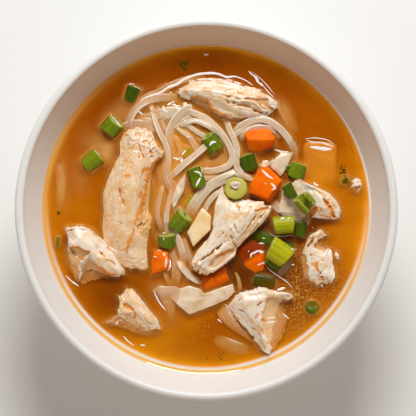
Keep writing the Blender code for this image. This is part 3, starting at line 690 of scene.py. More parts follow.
def relaxed(points, faces, rounds, strength=0.6):
    """The net's points, each drawn towards its neighbours a number of times."""
    start = faces.ravel()
    end = np.roll(faces, -1, axis=1).ravel()
    start, end = np.concatenate((start, end)), np.concatenate((end, start))
    share = strength / np.bincount(start, minlength=len(points))
    for _ in range(rounds):
        pull = np.stack([np.bincount(start, points[end, axis], len(points)) for axis in range(3)], 1)
        points = points * (1 - strength) + pull * share[:, None]
    return points


def normals_of(points, faces):
    """The outward direction at each point of a net of four-cornered faces."""
    a, b, c, d = (points[faces[:, corner]] for corner in range(4))
    facing = np.cross(c - a, d - b)
    total = np.zeros_like(points)
    for corner in range(4):
        for axis in range(3):
            total[:, axis] += np.bincount(faces[:, corner], facing[:, axis], len(points))
    return total / np.maximum(np.linalg.norm(total, axis=1, keepdims=True), 1e-9)


def nearness(points, corners, width):
    """1 on a line drawn over the piece, 0 a width away from it; the line thins out at its ends."""
    line = smooth_path([(x, y, 0) for x, y in corners], 0.35)[:, :2]
    best = np.zeros(len(points))
    for index, place in enumerate(line):
        share = index / (len(line) - 1)
        reach = width * min(1.0, 0.35 + 5 * min(share, 1 - share))
        gap = np.hypot(points[:, 0] - place[0], points[:, 1] - place[1])
        best = np.maximum(best, 1 - gap / reach)
    return best


def within(points, outline, edge):
    """1 inside an outline drawn over the piece and 0 outside it, with a soft edge."""
    x, y = points[:, 0], points[:, 1]
    inside = np.zeros(len(points), bool)
    nearest = np.full(len(points), 99.0)
    for (x1, y1), (x2, y2) in zip(outline, outline[1:] + outline[:1]):
        crosses = (y1 > y) != (y2 > y)
        inside ^= crosses & (x < (x2 - x1) * (y - y1) / (y2 - y1 + 1e-9) + x1)
        share = ((x - x1) * (x2 - x1) + (y - y1) * (y2 - y1)) / ((x2 - x1) ** 2 + (y2 - y1) ** 2)
        share = np.clip(share, 0, 1)
        nearest = np.minimum(nearest, np.hypot(x1 + share * (x2 - x1) - x, y1 + share * (y2 - y1) - y))
    depth = np.clip(0.5 + np.where(inside, nearest, -nearest) / edge, 0, 1)
    return depth * depth * (3 - 2 * depth)


def wandering(points, size, amount, seed):
    """The same places, shifted a little this way and that, so that lines drawn on them waver."""
    shift = np.zeros_like(points)
    shift[:, 0] = table_noise(points, (size, size, size), seed)
    shift[:, 1] = table_noise(points, (size, size, size), seed + 1)
    return points + shift * amount


def along_grain(points, grain, pole):
    """Each point as (across, along, up) the fibres, which run at an angle or fan out from a pole."""
    if pole is not None:
        away = points[:, :2] - pole
        turn = np.unwrap([radians(grain)])[0]
        swing = (np.arctan2(away[:, 1], away[:, 0]) - turn + pi) % (2 * pi) - pi
        reach = np.hypot(away[:, 0], away[:, 1])
        return np.stack((swing * np.median(reach), reach, points[:, 2]), axis=1)
    turn = radians(grain)
    along = points[:, 0] * cos(turn) + points[:, 1] * sin(turn)
    across = points[:, 1] * cos(turn) - points[:, 0] * sin(turn)
    return np.stack((across, along, points[:, 2]), axis=1)


def meat(node, seed, grain, pole=None, slits=(), folds=(), hollows=(), torn=(), oil=(), fray=1.0,
         rough=1.0, warm=0.2):
    """A piece of chicken: its points in millimetres, its faces, and its looks at each point.

    Slits are cut and folds raised along lines: (line, width, depth). A hollow is (outline, depth, how
    tan it is): a dip where a flake has come away, tinted tan partly as flesh colour and partly as
    painted shade on faces turned from the light. Torn is (x, y, reach, height) of rough flakes. Oil is
    (line, width).
    """
    points, faces = fine_copy(node, 0.31)
    points = relaxed(points, faces, 12)
    outward = normals_of(points, faces)
    place = along_grain(points, grain, pole)
    turn = radians(grain)
    heading = np.array((cos(turn), sin(turn), 0.0))
    end_on = np.abs(outward @ heading)
    lumps = table_noise(place, (4.2, 9.0, 5.0), seed) * 0.5 + table_noise(place, (1.9, 5.0, 2.4), seed + 1) * 0.28
    bundles = 1 - np.abs(table_noise(place, (FIBRE * 1.5, 13.0, 3.0), seed + 2)) * 2
    threads = 1 - np.abs(table_noise(place, (FIBRE * 0.6, 6.0, 1.6), seed + 3)) * 2
    seams = np.clip(-bundles - 0.25, 0, 1) ** 1.3 * (0.5 + 0.5 * table_noise(place, (5, 5, 5), seed + 5))
    ragged = table_noise(place, (FIBRE * 1.1, 4.0, 1.3), seed + 4)
    flakes = 1 - 2 * np.abs(table_noise(wandering(points, 1.2, 0.6, seed + 14), (1.5, 1.5, 1.2), seed + 13))
    relief = lumps * rough + bundles * 0.15 * rough + threads * 0.08 - 0.6 * seams
    tear = np.zeros(len(points))
    for x, y, reach, height in torn:
        zone = np.clip(1.3 - np.hypot(points[:, 0] - x, points[:, 1] - y) / reach, 0, 1)
        relief += height * zone * (flakes - 0.25)
        tear = np.maximum(tear, zone * min(1.0, height * 1.6))
    drawn = wandering(wandering(points, 1.7, 0.45, seed + 9), 0.7, 0.22, seed + 11)
    points = points + outward * relief[:, None]
    points += heading * (np.sign(outward @ heading) * end_on ** 2 * ragged * 1.1 * fray)[:, None]
    upper = np.clip(outward[:, 2] * 1.6 + 0.1, 0, 1)
    cleft = seams * 0.75 + np.clip(-threads - 0.6, 0, 1) * 0.3
    cleft = np.maximum(cleft, tear * np.clip(-flakes - 0.1, 0, 0.6))
    tan = np.zeros(len(points))
    for outline, depth, tan_and_shade_amount in hollows:
        share = within(drawn, outline, 0.6)
        points[:, 2] -= depth * share * upper
        tan = np.maximum(tan, share * tan_and_shade_amount)
    uneven = 0.75 + 0.55 * table_noise(points, (1.6, 1.6, 1.6), seed + 7)
    for line, width, depth in slits:
        near = np.clip(nearness(drawn, line, width) * (0.35 + uneven), 0, 1)
        points[:, 2] -= depth * near ** 0.9 * uneven * upper
        cleft = np.maximum(cleft, np.clip(near * 1.35, 0, 1) * uneven * upper)
    for line, width, height in folds:
        near = np.clip(nearness(drawn, line, width), 0, 1)
        points[:, 2] += height * (near * near * (3 - 2 * near)) * upper
        cleft *= 1 - 0.8 * near
        tan *= 1 - 0.85 * np.clip(near * 1.5, 0, 1)
    stain = np.zeros(len(points))
    blot = table_noise(points, (1.1, 1.1, 1.1), seed + 8) + 0.6 * table_noise(points, (0.5, 0.5, 0.5), seed + 6)
    for line, width in oil:
        stain = np.maximum(stain, np.clip(nearness(drawn, line, width * 1.35) * 1.2 + 0.45 * blot, 0, 1)
                           * np.clip(nearness(points, line, width * 1.9) * 3, 0, 1))
    return points, faces, dict(cleft=cleft, oil=stain, tan=tan, tear=tear, thread=threads * 0.6 + bundles * 0.4,
                               warm=np.full(len(points), warm))


CHICKEN_PIECES = {
    "chicken_back_slice": dict(
        seed=11, grain=-14, fray=0.7, rough=0.6, warm=0.15,
        slits=[([(5.7, 52.0), (8.2, 51.2), (11.1, 50.2), (14.7, 49.4), (19.1, 49.3), (22.2, 48.6), (24.8, 46.3),
                 (27.4, 43.9), (29.4, 43.4)], 0.75, 1.1),
               ([(8.0, 48.9), (11.1, 47.6), (14.7, 46.6), (18.1, 46.0), (22.7, 43.9), (25.8, 42.7),
                 (28.4, 42.7)], 1.0, 1.8),
               ([(2.3, 50.0), (5.4, 49.8)], 0.5, 0.5), ([(8.5, 55.0), (13, 54.2)], 0.4, 0.3)],
        folds=[([(15.0, 48.6), (19.6, 48.4), (22.4, 46.9), (25.0, 44.6), (28.2, 43.3)], 0.9, 0.7),
               ([(22, 51.6), (26.5, 51), (30.4, 48.2)], 1.2, 0.6)],
        hollows=[([(-6.9, 50.7), (-4.4, 50.0), (-1.3, 48.9), (0.5, 47.9), (1.5, 45.6), (3.3, 43.5), (6.4, 42.2),
                   (11.1, 41.2), (16.2, 41.0), (19.3, 40.7), (19.3, 38), (6, 38), (-8, 45)], 1.5, 1.35),
                 ([(21.2, 49.3), (25.3, 49.7), (27.4, 49.3), (28.0, 48.1), (28.3, 46.5), (29.8, 45.2),
                   (30.6, 44.5), (28.9, 44.2), (26.5, 45.9), (24.4, 47.6), (22.7, 48.6)], 1.3, 1.3)],
        torn=[(-8, 53, 3, 0.25), (30, 46, 3, 0.3)],
        oil=[([(-6.9, 51.0), (-3.9, 50.0), (-0.3, 48.9), (1.0, 47.4), (3.6, 44.3), (7.5, 42.8),
               (11.6, 42.0)], 0.8),
             ([(-10.5, 53.6), (-8.7, 53.0)], 0.9), ([(-7.2, 55.9), (-6.4, 55.9)], 0.4),
             ([(-1.3, 55.1), (-0.3, 55.2)], 0.5), ([(13.6, 53.0), (16.7, 52.0)], 0.7),
             ([(14.7, 42.2), (15.7, 42.8)], 0.5), ([(22, 50.2), (27, 50)], 0.4)]),
    "chicken_large_slab": dict(
        seed=23, grain=84, fray=0.9, rough=0.6, warm=0.6,
        slits=[([(-39.1, 9.6), (-38.4, 7.0), (-37.3, 3.9), (-36.0, 0.9)], 0.9, 1.1),
               ([(-30.5, 29.9), (-30.0, 28.1), (-29.2, 25.5), (-28.2, 22.5)], 0.45, 0.8),
               ([(-32.1, 28.6), (-33.1, 26.6)], 0.5, 0.6), ([(-29.2, 30.2), (-27.2, 30.4), (-24.6, 29.1)], 0.5, 0.6),
               ([(-42.2, -4.6), (-38.9, -5.4), (-35.5, -6.6)], 0.4, 0.4),
               ([(-41.2, -12.9), (-38.4, -12.6), (-35.3, -12.9)], 0.35, 0.35),
               ([(-27.6, 3), (-28.8, -5), (-30, -10)], 0.5, 0.9)],
        folds=[([(-36.5, 34.6), (-33.0, 35.6), (-29.8, 36.0), (-26.2, 34.4), (-23.4, 31.6)], 1.2, 0.6),
               ([(-23.5, 29.6), (-21.6, 26.0), (-20.2, 24.8)], 1.4, 0.8)],
        hollows=[([(-37.5, 33.9), (-35.2, 33.6), (-33.6, 31.7), (-34.4, 29.1), (-36.4, 26.4), (-38.6, 26.5),
                   (-39.0, 29.0)], 0.5, 0.25),
                 ([(-26.2, 13.6), (-24.8, 18.6), (-22.0, 22.4), (-19.4, 23), (-18, 15), (-20, 4), (-22.6, -4),
                   (-25.2, -9.5), (-26.6, -14.8), (-28.2, -12.6), (-30.4, -10.4), (-29.7, -3), (-28.6, 3),
                   (-27.2, 8.6)], 0.6, 1.1)],
        torn=[(-29, 32, 8, 0.55), (-24, 25, 4, 0.5), (-27.6, -8, 4, 0.6), (-26.6, 14, 3, 0.35),
              (-30, -24, 4, 0.4)],
        oil=[([(-39.1, 9.6), (-38.2, 6.4), (-36.0, 0.9)], 0.5),
             ([(-20.2, 23.2), (-23.6, 20.9), (-25.6, 17.6), (-26.6, 13)], 1.5),
             ([(-26.6, 13), (-27.6, 7), (-29.0, 2), (-30.7, -3.4), (-31.4, -8.0)], 1.15),
             ([(-31.4, -8.0), (-32.2, -13.1), (-33.0, -17.0), (-33.0, -19.3)], 0.75),
             ([(-27.0, 18.4), (-28.4, 16.2)], 0.8), ([(-28.6, 8.4), (-29.8, 5.6)], 0.7),
             ([(-36.7, 33.3), (-34.9, 33.3)], 0.6), ([(-32.6, 33.3), (-30.5, 33.8), (-29.2, 33.3)], 0.7),
             ([(-32.6, 28.4), (-30.5, 29.9)], 0.5), ([(-33.6, 26.3), (-32.1, 26.6)], 0.5),
             ([(-30.3, 29.1), (-28.7, 24.0), (-27.7, 21.9)], 0.5),
             ([(-29.2, 30.2), (-27.2, 30.7), (-24.6, 29.1)], 0.5),
             ([(-36.4, 21.9), (-34.4, 21.4), (-32.8, 20.4)], 0.5), ([(-24.6, 22.2), (-23.6, 22.7)], 0.4),
             ([(-41.6, 21.4), (-41.1, 17.6)], 0.6), ([(-36.9, 15.3), (-33.9, 15.3)], 0.7),
             ([(-34.9, 23.0), (-33.9, 24.5)], 0.5), ([(-27.7, 12.7), (-26.1, 14.7)], 0.6),
             ([(-45.1, -3.1), (-42.0, -2.8)], 0.5), ([(-40.4, -7.7), (-39.9, -7.7)], 0.7),
             ([(-29.3, -23.7), (-28.8, -23.6)], 0.7), ([(-36, 18.8), (-35.6, 19)], 0.4),
             ([(-37.8, 10), (-36.8, 7)], 0.5), ([(-35.0, 27.6), (-33.6, 27.0)], 0.6), ([(-30.5, 24.3), (-30, 23.4)], 0.6),
             ([(-38.2, 20.2), (-37, 19.6)], 0.6), ([(-33.8, 16.6), (-33.2, 16.4)], 0.7), ([(-24.8, 25.4), (-24.2, 24.2)], 0.7),
             ([(-31, 11.6), (-30.4, 11)], 0.5), ([(-36.6, -14.2), (-36, -14.2)], 0.6), ([(-34.6, -18.6), (-34, -18)], 0.5)]),
    "chicken_left_chunk": dict(
        seed=37, grain=-52, fray=1.0, rough=0.45, warm=0.12,
        slits=[([(-55.6, -9.1), (-51.2, -10.0), (-48.7, -11.6), (-45.6, -14.2)], 0.55, 0.9),
               ([(-62.4, -9.3), (-60.2, -9.4)], 0.9, 1.5),
               ([(-47.9, -18.8), (-46.1, -20.8), (-44.8, -22.4), (-42.5, -22.9), (-40.9, -24.4),
                 (-41.2, -25.7)], 0.42, 0.6),
               ([(-54.3, -28.3), (-51.2, -27.3)], 0.5, 0.6)],
        folds=[([(-51.7, -19.9), (-55.3, -23.6), (-56.9, -26.2), (-56.1, -28.3), (-57.1, -31.9)], 1.1, 2.4),
               ([(-63.1, -9.6), (-59.5, -8.4), (-55.3, -8.2), (-50.2, -9.2), (-46.1, -12.2)], 0.7, 0.5)],
        hollows=[([(-61.4, -17.1), (-57.1, -16.7), (-54.8, -18.3), (-51.7, -19.0), (-53.3, -20.8),
                   (-55.6, -23.2), (-57.1, -22.4), (-59.5, -20.1)], 2.0, 1.1),
                 ([(-63, -18.0), (-59.5, -20.1), (-56.1, -23.4), (-56.9, -26.0), (-57.9, -33), (-63, -33)],
                  1.0, 0.85),
                 ([(-52.3, -22.4), (-49.7, -25.6), (-46.1, -27.5), (-43.5, -29.0), (-43, -33), (-57, -34),
                   (-56.1, -28.0), (-54.6, -24.7)], 1.7, 0.9)],
        oil=[([(-50.2, -24.2), (-47.6, -26.2), (-43.8, -28.6), (-39.9, -29.4)], 0.9),
             ([(-60.7, -17.2), (-57.1, -17.0), (-54.8, -18.5), (-52.8, -19.3)], 0.7),
             ([(-47.6, -18.8), (-45.6, -21.1)], 0.7), ([(-44.5, -16.4), (-41, -19.6)], 0.5)]),
    "chicken_front_chunk": dict(
        seed=41, grain=-50, fray=1.1, rough=0.5, warm=0.6,
        slits=[([(-33.7, -34.9), (-32.1, -37.0), (-29.4, -40.4), (-27.1, -43.6), (-24.8, -46.8)], 0.5, 0.8),
               ([(-31.9, -46.8), (-32.4, -48.9)], 0.6, 0.7)],
        folds=[([(-39.0, -42.2), (-38.1, -45.0), (-36.2, -45.6), (-33.0, -45.8)], 0.7, 0.6),
               ([(-35.2, -37.0), (-32, -41.6), (-29, -46), (-25, -50.6)], 1.4, 0.5)],
        hollows=[([(-37.8, -42.2), (-35.3, -42.9), (-33.0, -44.1), (-32.1, -45.2), (-34.0, -44.9),
                   (-36.9, -44.5)], 0.9, 0.5),
                 ([(-38.6, -46.8), (-34.0, -47.3), (-32.6, -48.6), (-31.0, -51.1), (-31.7, -53.2),
                   (-35.8, -57), (-41, -54), (-41, -49.5)], 0.6, 0.5),
                 ([(-31.5, -53.5), (-27.1, -52.9), (-24, -54.4), (-21.0, -56), (-23.0, -60), (-34, -60)], 0.4, 0.5)],
        torn=[(-38, -50, 4, 0.5), (-36, -45, 3, 0.3), (-22, -53, 3, 0.4)],
        oil=[([(-37.2, -42.9), (-35.0, -44.0), (-33.0, -44.8)], 1.1), ([(-23.9, -54.1), (-20.9, -53.9)], 1.1),
             ([(-31.7, -52.1), (-29.4, -53.0)], 0.8), ([(-36.5, -46.8), (-34.2, -47.0)], 0.5),
             ([(-32.1, -49.1), (-31.9, -47.0)], 0.7), ([(-26.8, -48.9), (-26.4, -48.9)], 0.4)]),
    "chicken_folded_piece": dict(
        seed=53, grain=-63, fray=0.9, rough=0.35, warm=-0.1,
        slits=[([(12.2, -47.4), (15.9, -52.2), (19.3, -56.2), (22.0, -59.6)], 0.65, 1.4),
               ([(22.7, -43.3), (24.4, -41.9), (25.9, -41.3)], 0.55, 0.6),
               ([(21.6, -49.1), (22.1, -47.6), (23.9, -46.8)], 0.55, 0.6), ([(20.4, -52.8), (21.9, -54.2)], 0.5, 0.5),
               ([(14.1, -44.5), (17.6, -46.2)], 0.35, 0.35)],
        folds=[([(13.9, -38.8), (17.6, -37.4), (21.3, -37.4), (25.0, -36.6), (29.0, -37.9), (37.2, -38.0)],
                1.4, 0.7),
               ([(24.6, -44.6), (24.0, -49.4), (24.6, -56), (26.4, -61.6)], 1.0, 0.9)],
        hollows=[([(27.1, -39.9), (30.1, -39.3), (33.0, -39.9), (37.0, -41.0), (38, -48), (39, -54),
                   (35, -60), (30.0, -63.5), (27.2, -58.6), (25.6, -53.9), (25.2, -48.8), (25.5, -45.0)], 2.0, 0.85),
                 ([(4, -45.1), (8.7, -42.3), (12.2, -46.9), (17.2, -53.0), (20.6, -57.5), (24.2, -62),
                   (20, -65), (4, -56)], 1.5, 0.55)],
        oil=[([(14.6, -39.8), (15.8, -40.1)], 0.8), ([(24.9, -48.8), (26.7, -49.9)], 0.6),
             ([(24.6, -53.6), (25.6, -55.6)], 0.6), ([(21.8, -48.8), (23.4, -47.2)], 0.5),
             ([(10.6, -42.2), (14, -47)], 0.4)]),
    "chicken_shredded_fan": dict(
        seed=67, grain=58, pole=(-14.0, -46.0), fray=1.3, rough=0.6, warm=0.2,
        slits=[([(-2.6, -22.9), (-0.0, -20.9), (2.5, -19.1), (5.6, -17.0), (7.7, -14.5), (8.6, -12.4)], 0.7, 1.8),
               ([(10.6, -11.0), (12.3, -15.0), (13.8, -17.6)], 0.55, 1.3),
               ([(9.3, -8.0), (8.7, -10.9), (8.4, -13.0)], 0.9, 1.8),
               ([(20.0, 2.0), (18.5, -2.1), (18.0, -4.2)], 0.4, 0.5),
               ([(22.3, -2.6), (20.0, -5.7), (18.0, -8.3), (16.9, -11.9)], 0.5, 0.8),
               ([(14.6, 1.7), (14.6, -0.6)], 0.35, 0.4), ([(12.4, -6.5), (14.4, -11.4)], 0.4, 0.6),
               ([(7.7, -10.1), (5.9, -12.9)], 0.4, 0.6), ([(24.4, -2.6), (23.1, -5.5)], 0.7, 1.6)],
        folds=[([(10, 4.4), (8.6, -2), (6.2, -9.0), (1.0, -17.0), (-4.0, -22.6)], 1.6, 0.6),
               ([(10.0, -6.4), (12.4, -10.6), (14.4, -15.0)], 0.9, 0.6),
               ([(10.6, -14.8), (6.6, -18.4), (1.6, -22.6)], 1.3, 0.6),
               ([(15.4, 1.6), (15.6, -5.6), (15.2, -12.0)], 0.9, 0.4), ([(25.8, -0.4), (22.0, -6.8), (18.2, -12.6)], 0.8, 0.5)],
        hollows=[([(22.0, -0.3), (25.7, 0.7), (27.9, 0.9), (27.0, -1.1), (24.6, -3.6), (23.0, -5.6),
                   (21.6, -4.0)], 0.9, 0.65),
                 ([(4.0, -21.2), (8.7, -18.7), (12.8, -16.7), (14.8, -18.1), (10.2, -21.4), (6.1, -25),
                   (2.0, -27), (0.8, -25.2)], 1.2, 0.45),
                 ([(-7, -25.8), (-3.6, -24.8), (-0.6, -26.6), (0.4, -29), (-3, -32), (-8, -29)], 0.7, 0.4)],
        torn=[(25, 0, 3, 0.3), (-3, -25, 3, 0.35), (13, -14, 3, 0.2)],
        oil=[([(4.1, -21.7), (8.2, -19.3), (12.3, -17.5)], 0.9), ([(0.2, -20.9), (2.5, -19.1), (6.1, -16.5)], 0.4),
             ([(-5.2, -24.5), (-4.2, -23.2)], 0.6), ([(22.1, -0.6), (24.1, 0.2), (27.7, 1.0)], 0.8),
             ([(2.0, -25.0), (3.6, -23.7)], 0.7), ([(13.4, 2.2), (14.4, 1.0)], 0.9)]),
    "chicken_right_slice": dict(
        seed=71, grain=-50, fray=0.8, rough=0.4, warm=0.05,
        slits=[([(52.7, 5.0), (54.5, 2.0), (56.1, -1.1), (57.8, -3.9)], 0.8, 1.5),
               ([(50.4, 1), (51.6, -0.6)], 0.4, 0.6), ([(41.9, 13.0), (43.8, 11.1)], 0.55, 0.8)],
        folds=[([(43.6, 11.6), (48.6, 9.6), (54, 6.0), (58.2, 1.4)], 1.3, 0.6)],
        hollows=[([(48.8, 1.2), (49.8, 0.6), (48.2, -3), (44, -4), (44.6, -1)], 1.3, 0.9),
                 ([(30, 6), (36.6, 9.2), (38.6, 2.6), (44.6, -2.6), (44, -6), (30, -6)], 0.0, 0.3)],
        torn=[(50.6, -1, 2.4, 0.3)],
        oil=[([(52.9, 4.8), (54.5, 2.0), (56.1, -1.1), (57.6, -3.6)], 1.5), ([(48.8, 0.8), (47.6, -2.2)], 1.5),
             ([(42.1, 12.8), (43.8, 11.1)], 0.6), ([(50.6, 0.2), (51.4, -1.2)], 0.4),
             ([(46.4, -3.2), (51.4, -2.9), (56.6, -3.9)], 0.5)]),
    "chicken_crumbly_piece": dict(
        seed=83, grain=70, fray=1.5, rough=0.9, warm=0.12,
        slits=[([(48.3, -12.6), (46.9, -15.2), (45.5, -17.2)], 0.7, 1.3),
               ([(49.2, -26.4), (50.6, -27.8), (51.2, -28.9)], 0.7, 1.3), ([(50.6, -30.4), (52.3, -30.9)], 0.7, 1.2),
               ([(46.7, -20.2), (47.1, -21)], 0.5, 0.6)],
        folds=[([(44.6, -12.6), (48.1, -12.0), (52.9, -10.2), (54.5, -11.8)], 0.8, 0.8)],
        hollows=[([(49.5, -14.1), (53.2, -12.9), (56, -12.9), (55, -17.5), (51.4, -18.4), (50.2, -17.8),
                   (47.8, -17.4)], 1.8, 1.3),
                 ([(41, -20), (44.6, -20.4), (45.4, -26), (46.8, -33.6), (41, -34)], 1.0, 0.7)],
        torn=[(50, -23, 5, 0.4), (54, -19, 3, 0.5), (52, -30, 3, 0.4)],
        oil=[([(49.2, -26.1), (50.3, -27.5), (51.2, -28.7)], 0.9), ([(50.8, -30.4), (52.1, -30.8)], 0.8),
             ([(52.1, -18.4), (53.2, -18.6)], 0.6), ([(48.1, -13), (47.0, -15)], 0.5),
             ([(48.4, -24.2), (49.4, -25.4)], 1.3), ([(51.0, -31.0), (52.4, -31.4)], 1.2)]),
    "chicken_bit_1": dict(seed=91, grain=40, fray=1.4, rough=0.7, torn=[(67, 9, 4, 0.5)],
                          slits=[([(65.6, 9.4), (69.2, 9.8)], 0.8, 1.4)], oil=[([(66.4, 8.6), (68.6, 7.4)], 0.6)]),
    "chicken_bit_2": dict(seed=97, grain=60, fray=1.0, rough=0.5, torn=[(56, -20.6, 3, 0.3)]),
}

flesh = Finish("poached_chicken", Roughness=0.42, Coat_Weight=0.35, Coat_Roughness=0.16,
               Subsurface_Weight=0.15, Subsurface_Scale=1.6 * MM)
flesh.shader.inputs["Subsurface Radius"].default_value = (1.0, 0.5, 0.25)
patch = flesh.noise(190.0, 3.0)
warmth = flesh.attribute("warm")
meat_colour = flesh.colour((0.85, 0.59, 0.31), (0.93, 0.82, 0.69), flesh.between(patch, 0.30, 0.56))
meat_colour = flesh.colour(meat_colour, (0.81, 0.50, 0.21), (warmth * 1.1 + (patch - 0.5) * -1.2).clamped())
mottle_in = flesh.noise(950.0, 4.0)
meat_colour = flesh.colour(meat_colour, (0.82, 0.42, 0.10), flesh.between(mottle_in, 0.55, 0.72) * (warmth + 0.2))
meat_colour = flesh.colour(meat_colour, (0.95, 0.86, 0.75), flesh.between(1 - mottle_in, 0.54, 0.68) * 0.55)
meat_colour = flesh.colour(meat_colour, (0.92, 0.82, 0.72), flesh.attribute("tear") * 0.5)
# Darker tan in the grooves between fibre bundles: painted shade.
groove_shade = flesh.between(flesh.attribute("thread") * -1.0, 0.05, 0.75)
meat_colour = flesh.colour(meat_colour, (0.75, 0.44, 0.17), groove_shade * 0.5)
wet_and_painted_glint = 1 - flesh.between(flesh.height() + patch * 1.6 * MM, BROTH_LEVEL + 0.2 * MM, BROTH_LEVEL + 3.6 * MM)
meat_colour = flesh.colour(meat_colour, (0.76, 0.42, 0.12), wet_and_painted_glint * 0.7)
# Hollows are tinted tan, partly flesh colour and partly painted shade; past 1 they go darker, which is painted shade.
meat_colour = flesh.colour(meat_colour, (0.85, 0.47, 0.14), flesh.attribute("tan").clamped() * 0.85)
meat_colour = flesh.colour(meat_colour, (0.50, 0.24, 0.075), flesh.between(flesh.attribute("tan"), 1.0, 1.3) * 0.65)
seam = flesh.attribute("cleft")
stain = flesh.attribute("oil") * (0.5 + flesh.noise(1300.0, 3.0) * 1.0)
meat_colour = flesh.colour(meat_colour, (0.66, 0.30, 0.07), flesh.between(seam, 0.08, 0.7) * 0.8)
meat_colour = flesh.colour(meat_colour, (0.82, 0.27, 0.008), flesh.between(stain, 0.2, 0.85) * 0.92)
# The deepest clefts go dark brown: painted shade.
meat_colour = flesh.colour(meat_colour, (0.34, 0.11, 0.015), flesh.between(seam, 0.72, 1.0) * 0.7)
spice = flesh.between(flesh.noise(760.0, 1.0) + warmth * 0.05, 0.66, 0.72)
spice = spice * flesh.between(flesh.noise(120.0, 1.0), 0.44, 0.56)
meat_colour = flesh.colour(meat_colour, (0.70, 0.22, 0.015), spice * 0.6)
drowned = 1 - flesh.between(flesh.height(), BROTH_LEVEL - 3.5 * MM, BROTH_LEVEL + 0.6 * MM)
meat_colour = flesh.colour(meat_colour, (0.62, 0.33, 0.10), drowned * 0.85)
flesh.feed(Base_Color=meat_colour, Roughness=0.34 + patch * 0.22, Coat_Weight=0.35 - wet_and_painted_glint * 0.28,
           Normal=flesh.bump(flesh.noise(1900.0, 3.0), 0.3, 0.12 * MM))

for node, features in CHICKEN_PIECES.items():
    meat_points, meat_faces, looks = meat(node, **features)
    if node == "chicken_large_slab":
        spread = np.clip((-meat_points[:, 1] - 1) / 18, 0, 1) * np.clip((-meat_points[:, 0] - 27) / 10, 0, 1)
        meat_points[:, 0] -= 5.0 * spread
    elif node == "chicken_back_slice":
        meat_points[:, 1] -= 1.2 * np.clip((meat_points[:, 1] - 50) / 6, 0, 1)
    elif node == "chicken_right_slice":
        meat_points[:, 2] += 1.0 * np.clip((46 - meat_points[:, 0]) / 8, 0, 1)
    piece_mesh = new_mesh(node + "_meat", meat_points * MM, meat_faces, **looks)
    new_piece(node + "_meat", piece_mesh, flesh.material, "chicken", node)

# Carrots. Boiled chunks cut square from a root: bright, wet and softened at the edges, with the
# faint rings and rays of the root on the cut faces.
CARROTS = ("carrot_1", "carrot_2", "carrot_3", "carrot_4", "carrot_5")

# Carrots that lie half under meat: where their dark side starts, which way it lies, how dark it is
# there, and how much the piece swells.
SHADED_CARROTS = {
    "carrot_3": ((20.8, -22.6), (-0.55, 0.84), 1.0, (1.16, 1.16, 1.0)),
    "carrot_4": ((3.0, -32.8), (-0.4, 0.92), 0.8, (1.0, 1.0, 1.0)),
    "carrot_5": ((-20.0, -18.6), (0.0, 1.0), 0.6, (1.0, 1.0, 1.0)),
}


def softened(node, face_size, rounds, waves, seed):
    """A cut piece with its edges eased: points in millimetres and faces; waves is (size, height)s."""
    points, faces = fine_copy(node, face_size)
    points = relaxed(points, faces, rounds)
    outward = normals_of(points, faces)
    for number, (size, height) in enumerate(waves):
        wave = table_noise(points, (size, size, size), seed + number)
        points = points + outward * (wave * height)[:, None]
    return points, faces


root = Finish("boiled_carrot", Coat_Weight=0.0, Specular_IOR_Level=0.08,
              Subsurface_Weight=0.4, Subsurface_Scale=2.6 * MM)
root.shader.inputs["Subsurface Radius"].default_value = (1.0, 0.35, 0.1)
root_cloud = root.noise(240.0, 3.0)
root_rays = root.noise(700.0, 2.0, root.stretched(0.6, (1.0, 0.22, 0.6)))
root_colour = root.colour((0.97, 0.145, 0.0005), (1.0, 0.22, 0.0005), root.between(root_cloud, 0.3, 0.7))
# Sides that face away from the sky are darker red: painted shade.
upward_facing_for_shade = root.node("ShaderNodeSeparateXYZ", {}, {0: root.node("ShaderNodeNewGeometry", output="Normal")}, "Z")
root_colour = root.colour((0.96, 0.125, 0.0005), root_colour, root.between(upward_facing_for_shade, 0.2, 0.75))
root_colour = root.colour(root_colour, (1.0, 0.26, 0.002), root.between(root_rays, 0.52, 0.75) * 0.35)
root_colour = root.colour(root_colour, (0.25, 0.026, 0.0005), root.attribute("shaded"))
root_low = 1 - root.between(root.height(), BROTH_LEVEL - 0.5 * MM, BROTH_LEVEL + 3.5 * MM)
root_colour = root.colour(root_colour, (0.56, 0.075, 0.001), root_low * 0.6)
root.feed(Base_Color=root_colour, Roughness=0.42 + root_cloud * 0.25,
          Normal=root.bump(root.noise(1400.0, 3.0) + root_rays, 0.2, 0.15 * MM))
for number, node in enumerate(CARROTS):
    points, faces = softened(node, 0.30, 3, [(4.6, 0.16), (1.4, 0.04)], 120 + number)
    shaded = np.zeros(len(points))
    if node in SHADED_CARROTS:
        (x, y), (lean_x, lean_y), most, swelling = SHADED_CARROTS[node]
        centre = points.mean(axis=0)
        points = centre + (points - centre) * swelling
        away = (points[:, 0] - x) * lean_x + (points[:, 1] - y) * lean_y
        shaded = most * np.clip(away / 1.6 + 0.5 * table_noise(points, (2, 2, 2), 9), 0, 1)
    cut_mesh = new_mesh(node + "_cut", points * MM, faces, shaded=shaded)
    new_piece(node + "_cut", cut_mesh, root.material, "carrot", node)

